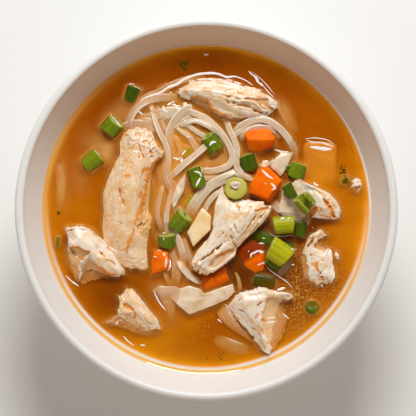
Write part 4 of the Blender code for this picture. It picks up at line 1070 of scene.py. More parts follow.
# Potato. One waxy wedge on the heap, pale yellow where it is dry and amber where it sits in broth,
# and a second piece sunk at the right so that only its top edge breaks the surface.
wax = Finish("boiled_potato", Roughness=0.4, Coat_Weight=0.3, Coat_Roughness=0.2,
             Subsurface_Weight=0.25, Subsurface_Scale=2.5 * MM)
wax.shader.inputs["Subsurface Radius"].default_value = (1.0, 0.6, 0.25)
wax_cloud = wax.noise(150.0, 3.0)
wax_colour = wax.colour((0.90, 0.62, 0.28), (0.95, 0.76, 0.48), wax.between(wax_cloud, 0.35, 0.65))
wax_low = 1 - wax.between(wax.height(), BROTH_LEVEL - 1.0 * MM, BROTH_LEVEL + 3.0 * MM)
wax_colour = wax.colour(wax_colour, (0.88, 0.37, 0.004), wax_low * 0.96)
wax.feed(Base_Color=wax_colour, Roughness=0.36 + wax_cloud * 0.2,
         Normal=wax.bump(wax.noise(1600.0, 3.0), 0.2, 0.12 * MM))
points, faces = softened("potato_piece", 0.36, 4, [(4.0, 0.20), (1.2, 0.05)], 140)
new_piece("potato_piece_cut", new_mesh("potato_piece_cut", points * MM, faces), wax.material,
          "potato", "potato_piece")


def rounded_block(name, centre, size, turns, ease, seed):
    """A cut block with eased edges; centre and size in millimetres, turns about x, y, z in degrees."""
    steps = 26
    bm = bmesh.new()
    bmesh.ops.create_cube(bm, size=2.0)
    bmesh.ops.subdivide_edges(bm, edges=bm.edges, cuts=steps, use_grid_fill=True)
    bmesh.ops.triangulate(bm, faces=bm.faces)
    block = np.array([vert.co[:] for vert in bm.verts])
    block_faces = [[vert.index for vert in face.verts] for face in bm.faces]
    bm.free()
    block = block / (np.abs(block) ** ease).sum(axis=1, keepdims=True) ** (1 / ease)
    block = block * np.array(size) / 2
    block += np.stack([table_noise(block + 40, (4, 4, 4), seed + axis) for axis in range(3)], 1) * 0.35
    turn = Matrix.Rotation(radians(turns[2]), 3, "Z") @ Matrix.Rotation(radians(turns[1]), 3, "Y")
    turn = turn @ Matrix.Rotation(radians(turns[0]), 3, "X")
    block = block @ np.array(turn).T + np.array(centre) + (0, 0, BROTH_LEVEL / MM)
    return new_mesh(name, block * MM, block_faces)


sunk_potato = rounded_block("potato_sunk", (50.9, 21.0, -4.1), (15.2, 19.0, 5.6), (7, 0, -2), 7, 147)
new_piece("potato_sunk", sunk_potato, wax.material, "potato")

# Pale slices. Thin translucent layers of white onion: one broad sheet at the front, a pointed flake
# on the carrots and slivers beside the noodles, smooth and wet with a slight fold.
SLICES = ("slice_1", "slice_2", "slice_3", "slice_4")
layer = Finish("onion_layer", Roughness=0.25, Coat_Weight=0.6, Coat_Roughness=0.1,
               Subsurface_Weight=0.2, Subsurface_Scale=2.0 * MM)
layer.shader.inputs["Subsurface Radius"].default_value = (1.0, 0.75, 0.55)
layer_cloud = layer.noise(200.0, 2.0)
layer_veins = layer.noise(420.0, 2.0, layer.stretched(0.35, (0.25, 1.0, 1.0)))
layer_colour = layer.colour((0.73, 0.49, 0.26), (0.85, 0.68, 0.49), layer.between(layer_cloud, 0.3, 0.7))
layer_colour = layer.colour(layer_colour, (0.93, 0.82, 0.68), layer.between(layer_veins, 0.5, 0.7) * 0.5)
layer_low = 1 - layer.between(layer.height(), BROTH_LEVEL - 0.6 * MM, BROTH_LEVEL + 1.3 * MM)
layer_colour = layer.colour(layer_colour, (0.74, 0.44, 0.18), layer_low * 0.7)
layer.feed(Base_Color=layer_colour, Roughness=0.2 + layer_cloud * 0.2,
           Normal=layer.bump(layer_veins + layer.noise(1300.0) * 0.3, 0.2, 0.15 * MM))


def turned_outward(mesh):
    """The mesh with its faces turned so that they all look outward."""
    bm = bmesh.new()
    bm.from_mesh(mesh)
    bmesh.ops.recalc_face_normals(bm, faces=bm.faces)
    bm.to_mesh(mesh)
    bm.free()
    return mesh


def plates_mesh(name, outlines, thickness, seed):
    """Thin eased plates cut to their outlines; each corner is (x, y, height above the broth)."""
    all_points, all_faces, first = [], [], 0
    for number, outline in enumerate(outlines):
        edge = smooth_path(list(outline) + [outline[0]], 0.5)[:-1]
        centre = edge.mean(axis=0)
        rings = [centre + (edge - centre) * share for share in np.linspace(1, 0.08, 16)]
        for ring, share in zip(rings, np.linspace(1, 0.08, 16)):
            ring[:, 2] += thickness / 2 * (1 - share ** 6)
        top_side = np.concatenate(rings)
        under = top_side - (0, 0, thickness)
        under[:len(edge)] = top_side[:len(edge)] - (0, 0, thickness * 0.35)
        points = np.concatenate((top_side, under))
        points[:, 2] += 0.3 * table_noise(points, (5, 5, 5), seed + number) + BROTH_LEVEL / MM
        count, half = len(edge), len(top_side)
        for side, flip in ((0, False), (half, True)):
            for k in range(15):
                for i in range(count):
                    j = (i + 1) % count
                    face = [side + k * count + i, side + k * count + j,
                            side + (k + 1) * count + j, side + (k + 1) * count + i]
                    all_faces.append([first + corner for corner in (face[::-1] if flip else face)])
            cap = [side + 15 * count + i for i in range(count)]
            all_faces.append([first + corner for corner in (cap[::-1] if flip else cap)])
        for i in range(count):
            j = (i + 1) % count
            all_faces.append([first + corner for corner in (i, half + i, half + j, j)])
        all_points.append(points)
        first += len(points)
    return turned_outward(new_mesh(name, np.concatenate(all_points) * MM, all_faces))


for number, node in enumerate(SLICES):
    if node == "slice_2":
        chip = plates_mesh(node + "_layer", [
            [(38.9, 25.5, 1.7), (36, 25.0, 2.2), (32.4, 24.2, 2.4), (29.4, 20.8, 2.6), (28.9, 18.9, 2.6),
             (31, 16.9, 2.4), (33.1, 14.9, 2.0), (34.9, 16.8, 1.9), (36.9, 20.6, 1.7)],
            [(23.6, 19.6, 2.2), (25.4, 21.2, 2.3), (27.8, 21.2, 2.5), (29.9, 22.3, 2.6), (30.2, 21.0, 2.5),
             (28.2, 19.4, 2.3), (25.6, 18.4, 2.1)]], 0.9, 157)
        new_piece(node + "_layer", chip, layer.material, "pale_slice", node)
        continue
    points, faces = softened(node, 0.33, 4, [(6.0, 0.35), (2.4, 0.10)], 150 + number)
    if node == "slice_1":
        points[:, 2] += 1.0 * np.clip((-4 - points[:, 0]) / 6, 0, 1)
    new_piece(node + "_layer", new_mesh(node + "_layer", points * MM, faces), layer.material,
              "pale_slice", node)
front_layers = plates_mesh("slice_ends", [
    [(-23.6, -36.2, 0.5), (-21.4, -34.4, 0.7), (-17.8, -34.6, 0.6), (-13, -34.8, 0.5), (-11, -38.6, 0.1),
     (-13.8, -41.6, -0.7), (-14.2, -47.3, -2.0), (-16, -50, -2.6), (-18.1, -45.8, -1.6), (-20.8, -40.6, -0.6)],
    [(12.4, -28.2, -0.5), (13.8, -28.6, -0.3), (15.2, -31.4, -0.3), (16, -35.6, -0.9), (14.2, -36.6, -1.3),
     (13.6, -32, -0.7)],
    [(12.4, 15.4, 1.4), (14.2, 14.4, 1.3), (20.6, 12.2, 0.8), (21, 13.8, 0.9), (15.4, 16.8, 1.5)],
    [(38.8, -21.8, -0.2), (37.9, -25.4, -0.1), (35.6, -28.5, -0.3), (32.9, -29.8, -0.5), (31.6, -28, -0.4),
     (32.9, -24.9, -0.2), (35.6, -23.6, -0.1)]], 0.8, 171)
new_piece("slice_ends", front_layers, layer.material, "pale_slice")

# Spring onion. Cut lengths of green leaf: thick-walled tubes pressed oval, ribbed lengthwise, darker
# outside than in, pale and wet at the cut. A few are split open or hold an inner leaf.
# Sizes are half-length, radius, flattening, heading and tilt; "tone" runs from dark to yellow-green.
ONIONS = {
    "onion_1": dict(length=6.4, radius=3.1, flatten=0.8, heading=70, tilt=8, tone=0.12),
    "onion_2": dict(length=7.2, radius=4.2, flatten=0.85, heading=50, tilt=14, tone=0.45),
    "onion_3": dict(length=7.6, radius=3.7, flatten=0.85, heading=38, tilt=14, tone=0.56),
    "onion_4": dict(length=8.4, radius=3.4, flatten=0.85, heading=-56, tilt=-5, tone=0.42),
    "onion_5": dict(length=8.6, radius=3.3, flatten=0.85, heading=-72, tilt=-5, tone=0.40),
    "onion_6": dict(length=4.2, radius=5.0, flatten=1.0, heading=0, tilt=88, tone=0.97, heart=True),
    "onion_7": dict(length=6.6, radius=3.6, flatten=0.8, heading=-74, tilt=-8, tone=0.16),
    "onion_8": dict(length=7.0, radius=3.3, flatten=0.8, heading=-64, tilt=-8, tone=0.34),
    "onion_9": dict(length=6.6, radius=2.4, flatten=0.8, heading=-62, tilt=-4, tone=0.20),
    "onion_10": dict(length=7.6, radius=3.9, flatten=0.75, heading=-46, tilt=-10, tone=0.56, split=62, wall=0.4),
    "onion_11": dict(length=8.6, radius=3.9, flatten=0.75, heading=4, tilt=0, tone=0.82),
    "onion_12": dict(length=6.8, radius=2.6, flatten=0.9, heading=86, tilt=0, tone=0.14),
    "onion_13": dict(length=9.4, radius=5.2, flatten=0.7, heading=-34, tilt=-8, tone=0.9),
    "onion_14": dict(length=8.4, radius=2.2, flatten=0.8, heading=-18, tilt=0, tone=0.04),
    "onion_15": dict(length=8.2, radius=4.1, flatten=0.85, heading=55, tilt=22, tone=0.48),
    "onion_16": dict(length=5.6, radius=3.9, flatten=0.8, heading=88, tilt=20, tone=0.42),
}


def leaf_tube(length, radius, wall, tone, seed, split=0.0, ribs=14):
    """A tube along x, or with a split a tube slit open on top: points, faces, tone and cut values."""
    around, along = 72, 22
    half = length / 2
    profile = [(half - 0.30, 0.0), (half - 0.10, 0.08), (half, 0.28)]
    outer = [(x, 0.0) for x in np.linspace(-half + 0.30, half - 0.30, along)] + profile[1:]
    inner = [(half, 0.72), (half - 0.10, 0.92)]
    inner += [(x, 1.0) for x in np.linspace(half - 0.30, -half + 0.30, along)]
    inner += [(-half + 0.10, 0.92), (-half, 0.72), (-half, 0.28), (-half + 0.10, 0.08)]
    ring = np.array(outer + inner)
    open_turn = radians(split)
    turns = np.linspace(open_turn / 2, 2 * pi - open_turn / 2, around, endpoint=split > 0)
    along_x = np.tile(ring[:, 0], (around, 1))
    depth = np.tile(ring[:, 1], (around, 1))
    turn = np.tile(turns[:, None], (1, len(ring)))
    place = np.stack((along_x, np.cos(turn) * radius, np.sin(turn) * radius), axis=-1).reshape(-1, 3)
    dent = table_noise(place, (radius * 2.4, radius * 1.3, radius * 1.3), seed).reshape(depth.shape)
    rib = np.cos(ribs * turn + 2 * dent) * (1 - depth)
    reach = radius * (1 + 0.07 * dent) - wall * depth + 0.055 * rib
    slant = 0.16 * radius * np.cos(turn + seed) * np.abs(along_x) / half
    points = np.stack((along_x + np.sign(along_x) * slant, np.sin(turn) * reach, np.cos(turn) * reach), -1)
    width = len(ring)
    faces = []
    for i in range(around if not split else around - 1):
        after = (i + 1) % around
        for j in range(width):
            k = (j + 1) % width
            faces.append((i * width + j, i * width + k, after * width + k, after * width + j))
    if split:
        faces.append(list(range(width))[::-1])
        faces.append([(around - 1) * width + j for j in range(width)])
    cut_value = np.clip((np.abs(along_x) - half + 0.25) / 0.15, 0, 1)
    inside = np.clip(depth * 1.2, 0, 1) * (1 - cut_value)
    return points.reshape(-1, 3), faces, np.full(points.size // 3, tone), cut_value.ravel(), inside.ravel()


leaf = Finish("spring_onion_leaf", Coat_Weight=0.12, Coat_Roughness=0.12, Specular_IOR_Level=0.15,
              Subsurface_Weight=0.1, Subsurface_Scale=1.5 * MM)
leaf.shader.inputs["Subsurface Radius"].default_value = (0.5, 1.0, 0.1)
leaf_tone = leaf.attribute("tone")
streak = leaf.attribute("streak")
leaf_colour = leaf.node("ShaderNodeValToRGB", {"stops": [
    (0.0, (0.035, 0.058, 0.001)), (0.3, (0.080, 0.135, 0.002)), (0.5, (0.17, 0.235, 0.003)),
    (0.8, (0.33, 0.36, 0.004)), (1.0, (0.54, 0.48, 0.008))]},
    {0: (leaf_tone + (streak - 0.5) * 0.20 + (leaf.noise(420.0) - 0.5) * 0.22).clamped()})
leaf_colour = leaf.colour(leaf_colour, (0.36, 0.36, 0.04), leaf.attribute("inside") * 0.4)
leaf_colour = leaf.colour(leaf_colour, (0.52, 0.50, 0.14), leaf.attribute("cut") * 0.6)
leaf_colour = leaf.colour(leaf_colour, (0.82, 0.66, 0.56), leaf.attribute("pale"))
leaf.feed(Base_Color=leaf_colour, Roughness=0.2 + leaf.noise(500.0) * 0.25,
          Normal=leaf.bump(leaf.noise(1500.0, 3.0), 0.15, 0.1 * MM))


def leaf_mesh(name, place, length, radius, flatten, heading, tilt, tone, seed, split=0.0, heart=False,
              wall=0.8):
    """One cut length laid in the soup at a place in metres, with what grows inside it."""
    layers = [leaf_tube(length, radius, wall * radius, tone, seed, split)]
    pale = [np.zeros(len(layers[0][0]))]
    if heart:
        plug = leaf_tube(length * 1.34, radius * 0.44, radius * 0.42, 0.9, seed + 2, 0.0, 5)
        slope = plug[0] * (1, 0.78, 1.1)
        slope[:, 2] *= 1 + 0.16 * slope[:, 1]
        layers.append((slope + (0, 0.26 * radius, 0), *plug[1:]))
        pale.append(np.ones(len(plug[0])))
    pose = Matrix.Rotation(radians(heading), 3, "Z") @ Matrix.Rotation(radians(-tilt), 3, "Y")
    all_points, all_faces, values = [], [], []
    first = 0
    for points, faces, tones, cuts, insides in layers:
        streaks = 0.5 + 0.5 * table_noise(points, (length * 1.5, 0.7, 0.7), seed + 5)
        streaks = np.clip(streaks + 0.3 * table_noise(points, (length, 0.35, 0.35), seed + 6), 0, 1)
        points = (points * (1, 1, flatten)) @ np.array(pose).T
        all_points.append(points * MM + np.array(place))
        all_faces += [[first + corner for corner in face] for face in faces]
        values.append((tones, cuts, insides, streaks))
        first += len(points)
    tones, cuts, insides, streaks = (np.concatenate(parts) for parts in zip(*values))
    return new_mesh(name, np.concatenate(all_points), all_faces, tone=tones, cut=cuts, inside=insides,
                    streak=streaks, pale=np.concatenate(pale))


for number, (node, shape) in enumerate(ONIONS.items()):
    low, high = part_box(node)
    piece = leaf_mesh(node + "_leaf", (low + high) / 2, seed=170 + 3 * number, **shape)
    new_piece(node + "_leaf", piece, leaf.material, "spring_onion", node)

# Small greens. Darker leaf ends of spring onion, half under the broth, and a round slice at the front.
for name, place, seed, shape in (
        ("leaf_end_right", (29.8, -14.4, 0.1), 301,
         dict(length=18.5, radius=3.0, flatten=0.4, heading=-24, tilt=0, tone=0.24)),
        ("leaf_end_front", (26.0, -32.2, -0.72), 302,
         dict(length=9.4, radius=3.4, flatten=0.5, heading=-8, tilt=0, tone=0.06)),
        ("leaf_end_disc", (47.5, -44.0, -0.8), 303,
         dict(length=3.0, radius=3.1, flatten=1.0, heading=0, tilt=84, tone=0.3, wall=0.98)),
        ("leaf_end_low", (30.4, -24.6, 0.2), 304,
         dict(length=7.4, radius=2.2, flatten=0.6, heading=-44, tilt=-8, tone=0.34)),
        ("leaf_end_left", (-66.8, -14.4, -0.7), 305,
         dict(length=5.0, radius=1.4, flatten=0.6, heading=84, tilt=0, tone=0.30)),
        ("leaf_end_centre", (-7.6, 3.4, -0.7), 306,
         dict(length=5.4, radius=1.6, flatten=0.6, heading=52, tilt=0, tone=0.7)),
        ("leaf_end_back", (-8.4, 25.6, -0.6), 307,
         dict(length=4.0, radius=1.4, flatten=0.6, heading=60, tilt=0, tone=0.7)),
        ("leaf_end_far", (62.2, 12.8, -1.7), 309,
         dict(length=4.4, radius=2.6, flatten=0.8, heading=30, tilt=12, tone=0.44)),
        ("leaf_end_under", (40.6, 17.2, 1.4), 308,
         dict(length=6.0, radius=3.6, flatten=0.7, heading=70, tilt=0, tone=0.44))):
    piece = leaf_mesh(name, np.array((place[0], place[1], place[2])) * MM + (0, 0, BROTH_LEVEL),
                      seed=seed, **shape)
    if name == "leaf_end_disc":
        piece.attributes["cut"].data.foreach_set("value", np.zeros(len(piece.vertices), np.float32))
    new_piece(name, piece, leaf.material, "spring_onion")


# Broth. Rich orange-brown stock, clear enough that what lies just below its surface still shows. It
# climbs a little where it meets the bowl and every piece, and is palest in the thin layer by the wall.
BROTH_STEPS = 300
WALL_CLIMB = (1.1, 1.0)           # how high the broth climbs the wall, and how far out that begins
PIECE_CLIMB = (0.95, 1.6)         # the same at a piece, in millimetres
CLEARNESS = 1.5                   # depth at which broth hides about two thirds of what lies in it

reach_all = wall_radius(BROTH_LEVEL + WALL_CLIMB[0] * MM) + 0.15 * MM
level_mm = BROTH_LEVEL / MM


def broth_net(steps, reach):
    """An even net of squares over a disc, by Shirley's map from a square: flat points and faces."""
    span = np.linspace(-1, 1, steps + 1)
    across, up = np.meshgrid(span, span, indexing="ij")
    wide = np.abs(across) > np.abs(up)
    radius = np.where(wide, across, up)
    other = np.where(wide, up, across)
    ratio = np.divide(other, radius, out=np.zeros_like(other), where=radius != 0)
    turn = np.where(wide, pi / 4 * ratio, pi / 2 - pi / 4 * ratio)
    spread = np.sign(radius) * np.abs(radius) ** 0.94
    flat = np.stack((spread * np.cos(turn), spread * np.sin(turn)), axis=-1) * reach
    index = np.arange((steps + 1) ** 2).reshape(steps + 1, steps + 1)
    faces = np.stack((index[:-1, :-1], index[1:, :-1], index[1:, 1:], index[:-1, 1:]), axis=-1)
    edge = np.concatenate((index[:-1, 0], index[-1, :-1], index[:0:-1, -1], index[0, :0:-1]))
    return flat.reshape(-1, 2), faces.reshape(-1, 4), edge


def all_around(values, rounds, keep):
    """Values on the net, blurred a number of times; points where keep is true stay as they are."""
    grid = values.reshape(BROTH_STEPS + 1, BROTH_STEPS + 1)
    held = keep.reshape(grid.shape)
    for _ in range(rounds):
        padded = np.pad(grid, 1, mode="edge")
        blurred = (padded[:-2, 1:-1] + padded[2:, 1:-1] + padded[1:-1, :-2] + padded[1:-1, 2:]) / 4
        grid = np.where(held, grid, 0.4 * grid + 0.6 * blurred)
    return grid.ravel()


soup_pieces = [obj for obj in bpy.data.objects
               if obj.type == "MESH" and obj.get("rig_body") and not obj.get("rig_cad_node")
               and obj.name != "bowl_glazed"]


def surface_of(pieces):
    """One searchable surface made of all the pieces' triangles."""
    corner_sets, triangle_sets, first = [], [], 0
    for piece in pieces:
        mesh = piece.data
        mesh.calc_loop_triangles()
        corners = np.empty(len(mesh.vertices) * 3, np.float32)
        mesh.vertices.foreach_get("co", corners)
        triangles = np.empty(len(mesh.loop_triangles) * 3, np.int32)
        mesh.loop_triangles.foreach_get("vertices", triangles)
        corner_sets.append(corners.reshape(-1, 3))
        triangle_sets.append(triangles.reshape(-1, 3) + first)
        first += len(mesh.vertices)
    return BVHTree.FromPolygons(np.concatenate(corner_sets).tolist(),
                                np.concatenate(triangle_sets).tolist(), all_triangles=True)


contents = surface_of(soup_pieces)

flat, broth_faces, broth_edge = broth_net(BROTH_STEPS, reach_all / MM)
depth = np.full(len(flat), 40.0)
top = RIM_HEIGHT + 10 * MM
down = Vector((0, 0, -1))
for index, (x, y) in enumerate(flat * MM):
    hit = contents.ray_cast((x, y, top), down, 40 * MM)[0]
    if hit is not None:
        depth[index] = (BROTH_LEVEL - hit.z) / MM
covered = depth < 0
tree = kdtree.KDTree(int(covered.sum()))
for number, index in enumerate(np.flatnonzero(covered)):
    tree.insert((*flat[index], 0), number)
tree.balance()
gap = np.zeros(len(flat))
for index in np.flatnonzero(~covered):
    gap[index] = tree.find((*flat[index], 0))[2]

# How much of the window's light each place under the surface gets past the pieces.
window = Vector((0.07, 0.80, 0.95)).normalized()
shade = np.zeros(len(flat))
jitter = np.random.default_rng(3)
for spread in jitter.normal(0, 0.16, (5, 3)):
    towards = (window + Vector(spread)).normalized()
    for index in np.flatnonzero(~covered):
        x, y = flat[index]
        start = level_mm + 0.1 - min(1.6, depth[index])
        if contents.ray_cast(Vector((x, y, start)) * MM, towards, 24 * MM)[0] is not None:
            shade[index] += 0.2
radius = np.hypot(flat[:, 0], flat[:, 1])
wall_gap = reach_all / MM - radius
depth = np.where(covered, 0.0, np.clip(depth, 0, 40))
veil = 0.30 + 0.70 * (1 - np.exp(-np.clip(depth - 0.1, 0, None) / CLEARNESS))
veil = all_around(veil, 2, covered)
veil = np.where(depth > 2.0, all_around(veil, 8, covered | (depth < 1.2)), veil)
veil = np.maximum(veil, np.where(covered, 0, 0.80 * np.exp(-(gap / 1.3) ** 2)))
veil *= np.clip((wall_gap - 0.1) / 0.55, 0, 1)
shade = all_around(shade, 10, covered)
# More painted shade at listed spots beside and behind the pieces.
for (x, y), reach, amount in (((26, -8), 7, 0.8), ((16, -29), 8, 1.1), ((23, -31), 9, 0.8), ((36, -14), 7, 0.5),
                              ((20, -15), 8, 0.8), ((-19, -8), 5, 0.6), ((4, 40), 7, 0.5), ((30, 21), 5, 0.6),
                              ((-40, -38), 12, 0.6), ((45, -9), 8, 0.6), ((-10, -62), 10, 0.2),
                              ((33, -26), 6, 0.5), ((8, -24), 6, 0.6), ((48, -8), 5, 0.5)):
    shade += amount * np.exp(-((flat[:, 0] - x) ** 2 + (flat[:, 1] - y) ** 2) / reach ** 2)
plan = np.column_stack((flat, np.zeros(len(flat))))
swell = table_noise(plan, (26, 22, 1), 9) * 0.10
rise = WALL_CLIMB[0] * np.exp(-np.clip(wall_gap, 0, None) / WALL_CLIMB[1])
rise += PIECE_CLIMB[0] * np.exp(-gap / PIECE_CLIMB[1]) * (1 - np.exp(-np.clip(wall_gap, 0, None) / 2))
rise = all_around(rise, 5, np.zeros(len(flat), bool)) + swell

# Its tone: 0 where it is deep and shaded, 1 where it is a pale film.
bright = 0.44 + 0.0010 * flat[:, 0] - 0.0026 * flat[:, 1]
bright += 0.07 * table_noise(plan, (30, 24, 1), 12) + 0.05 * table_noise(plan, (13, 10, 1), 13)
bright += 0.04 * table_noise(plan, (6, 4, 1), 14)
# Listed spots lighten or darken it; the strongest dark ones are painted shadow beside pieces.
for (x, y), reach, change in ((-58, 6), 26, 0.16), ((64, -6), 22, 0.12), ((0, 66), 26, -0.16), \
                             ((-44, 52), 18, -0.12), ((-46, -38), 15, -0.30), ((12, -56), 18, -0.05), \
                             ((-24, -64), 14, 0.08), ((44, -34), 16, -0.28), ((50, 44), 16, -0.06), \
                             ((51, 16), 9, 0.22), ((-6, 28), 18, 0.15), \
                             ((5, -54), 9, -0.12), ((-8, -49), 7, 0.06):
    bright += change * np.exp(-((flat[:, 0] - x) ** 2 + (flat[:, 1] - y) ** 2) / reach ** 2)
# Paler in the thin layer by the wall, and more so towards the lit front: partly painted light.
facing = np.clip(0.66 - flat[:, 1] / 150 + flat[:, 0] / 1500, 0.05, 1.1)
bright += facing * (0.30 * np.exp(-wall_gap / 7.0) + 0.25 * np.exp(-(wall_gap / 4.5) ** 2))
# Painted light along the back wall, where the wall's own shadow falls on the broth.
north_painted_light = np.clip(flat[:, 1] / np.maximum(radius, 1), 0, 1) ** 2
bright += 0.88 * north_painted_light * np.exp(-(wall_gap / 4.8) ** 2)
# Paler where the broth is thin over what lies just beneath, and a golden fringe round the pieces that is weaker where
# shade is painted: partly thin broth over their flanks, partly painted glow.
thin = np.where(covered, 0.0, np.exp(-depth / 1.3))
fringe_glow = np.where(covered, 0.0, np.exp(-(gap / 1.1) ** 2)) * (1 - 0.8 * np.clip(shade, 0, 1))
thin = np.maximum(thin, 1.3 * fringe_glow)
# Pale lines by the wall: partly the thinnest film where the white glaze shows, mostly painted highlights where the
# meniscus would catch the window.
southern = np.clip(-1.5 * flat[:, 1] / np.maximum(radius, 1) + 0.1, 0, 1)
film = southern * (np.exp(-((wall_gap - 2.45) / 0.5) ** 2) + 0.6 * np.exp(-((wall_gap - 3.2) / 0.4) ** 2))
film += southern * np.exp(-(wall_gap / 0.6) ** 4)
film += (1 - southern) * 0.95 * np.exp(-((wall_gap - 0.3) / 0.4) ** 2)
eastern = np.clip(1.6 * flat[:, 0] / np.maximum(radius, 1) - 0.5, 0, 1) * (1 - southern)
film += eastern * np.exp(-((wall_gap - 0.9) / 0.5) ** 2)
edge = southern * np.exp(-((wall_gap - 1.3) / 0.7) ** 2)
western = np.clip(-1.5 * flat[:, 0] / np.maximum(radius, 1) - 0.4, 0, 1) * (1 - southern)
edge += 0.75 * western * np.exp(-((wall_gap - 1.6) / 1.5) ** 2)
cloudiness = np.clip(table_noise(plan, (11, 9, 1), 21) * 0.7 + 0.6, 0, 1)
cloudiness *= np.clip(1.3 - np.hypot((flat[:, 0] - 42) / 20, (flat[:, 1] + 36) / 22), 0, 1)

# Milky patches: noodles and scraps of meat far down, or a cloud of starch.
haze = np.zeros(len(flat))
for (x, y), (wide, high), turn, amount in (
        ((-50, 28), (8, 10), 35, 0.25), ((-46.5, 27), (6.5, 8.5), 20, 0.75), ((-38, 43), (12, 6), 35, 0.5),
        ((-57, 16), (6, 10), 0, 0.30),
        ((-65, 11.8), (2.3, 10.5), -4, 0.95), ((-64, 14), (4.5, 14), 0, 0.25), ((35.5, 43), (3.6, 8), 24, 0.55),
        ((-22, 45), (15, 9), 0, 0.6), ((-21, -38), (8, 5), -60, 0.25), ((-16, -46), (5, 8), 0, 0.2),
        ((11.5, -61), (7, 3), -16, 0.95), ((-6, 28), (20, 20), 0, 0.45), ((-17, 2), (9, 16), 0, 0.35),
        ((4, 10), (14, 9), 30, 0.5), ((-12, -22), (7, 12), 10, 0.45), ((-36, -26), (6, 4), 0, 0.3),
        ((29, -26), (8, 6), 40, 0.3)):
    angle = radians(turn)
    across = (flat[:, 0] - x) * cos(angle) + (flat[:, 1] - y) * sin(angle)
    along = (flat[:, 1] - y) * cos(angle) - (flat[:, 0] - x) * sin(angle)
    spread = np.hypot(across / wide, along / high)
    haze = np.maximum(haze, amount * np.clip(1.35 - spread, 0, 1) ** 1.2)
haze *= 0.85 + 0.35 * table_noise(plan, (5, 5, 1), 31)
nest = np.clip(1.5 - np.hypot((flat[:, 0] + 8) / 17, (flat[:, 1] - 30) / 17), 0, 1)
nest = np.maximum(nest, 0.6 * np.clip(1.4 - np.hypot((flat[:, 0] + 12) / 12, (flat[:, 1] - 4) / 16), 0, 1))
golden_gaps = nest * np.clip(0.8 + 0.4 * table_noise(plan, (6, 6, 1), 33), 0, 1)
shade *= 1 - 0.35 * nest
veil = np.maximum(veil, np.where(covered, 0, 0.68 * golden_gaps))

side = [(wall_radius(height * MM) / MM - 0.4, height) for height in (50.0, 45.0, 36.0, 27.0, 19.0, 13.0)]
broth_top = np.column_stack((flat, level_mm + rise))
rings, side_faces, ring = [], [], list(broth_edge)
edge_turn = np.arctan2(flat[broth_edge, 1], flat[broth_edge, 0])
count = len(broth_top)
for side_radius, height in side:
    rings.append(np.column_stack((side_radius * np.cos(edge_turn), side_radius * np.sin(edge_turn),
                                  np.full(len(edge_turn), height))))
    lower = list(range(count, count + len(edge_turn)))
    for i in range(len(ring)):
        after = (i + 1) % len(ring)
        side_faces.append((ring[i], lower[i], lower[after], ring[after]))
    ring = lower
    count += len(lower)
side_faces.append(tuple(ring[::-1]))
broth_points = np.concatenate([broth_top] + rings)
extra = count - len(broth_top)


def with_side(values, fill):
    return np.concatenate((values, np.full(extra, fill)))


soup = Finish("chicken_broth", Roughness=0.05, IOR=1.36, Coat_Weight=0.4, Coat_Roughness=0.02)
fleck = soup.noise(900.0, 2.0)
broth_colour = soup.node("ShaderNodeValToRGB", {"stops": [
    (0.0, (0.24, 0.044, 0.0006)), (0.25, (0.34, 0.074, 0.0006)), (0.5, (0.47, 0.116, 0.0008)),
    (0.72, (0.63, 0.20, 0.003)), (0.87, (0.88, 0.31, 0.006)), (1.0, (0.95, 0.42, 0.04))]},
    {0: (soup.attribute("bright") + (fleck - 0.5) * 0.05).clamped()})
broth_colour = soup.colour(broth_colour, (0.66, 0.34, 0.095), soup.attribute("haze").clamped())
golden = soup.between(soup.noise(1000.0, 3.0), 0.50, 0.62) * soup.attribute("cloudy")
broth_colour = soup.colour(broth_colour, (0.94, 0.36, 0.008), soup.attribute("gold") * 0.9)
broth_colour = soup.colour(broth_colour, (0.22, 0.060, 0.003), soup.attribute("cloudy") * 0.7)
broth_colour = soup.colour(broth_colour, (0.72, 0.36, 0.07), golden * 0.8)
broth_colour = soup.colour(broth_colour, (0.17, 0.036, 0.001), (soup.attribute("shade") * 0.9).clamped())
broth_colour = soup.colour(broth_colour, (0.74, 0.33, 0.05), soup.attribute("thin") * 0.6)
broth_colour = soup.colour(broth_colour, (0.92, 0.83, 0.75), soup.attribute("film").clamped())
broth_colour = soup.colour(broth_colour, (0.84, 0.46, 0.11), soup.attribute("edge") * 0.9)
soup.feed(Base_Color=broth_colour, Alpha=soup.attribute("veil").clamped(),
          Normal=soup.bump(soup.noise(160.0, 2.0), 0.05, 0.2 * MM))
broth_mesh = new_mesh("broth_liquid", broth_points * MM, broth_faces.tolist() + side_faces,
                      bright=with_side(bright, 0.4), shade=with_side(shade, 0), veil=with_side(veil, 1),
                      cloudy=with_side(cloudiness, 0), haze=with_side(haze, 0), thin=with_side(thin, 0),
                      film=with_side(film, 0), edge=with_side(edge, 0),
                      gold=with_side(golden_gaps, 0))
broth_piece = new_piece("broth_liquid", turned_outward(broth_mesh), soup.material, "broth", "broth")
broth_piece.visible_shadow = False

# Painted glints and fat. Thin near-white glossy strips, laid on the food and along the edges of
# things, are painted highlights; golden drops of fat float between the front pieces.
outside = surface_of(soup_pieces + [broth_piece])


def top_at(x, y):
    """Height in millimetres of whatever is uppermost at a place in millimetres."""
    hit = outside.ray_cast(Vector((x * MM, y * MM, top)), down, 60 * MM)[0]
    return level_mm if hit is None else hit.z / MM


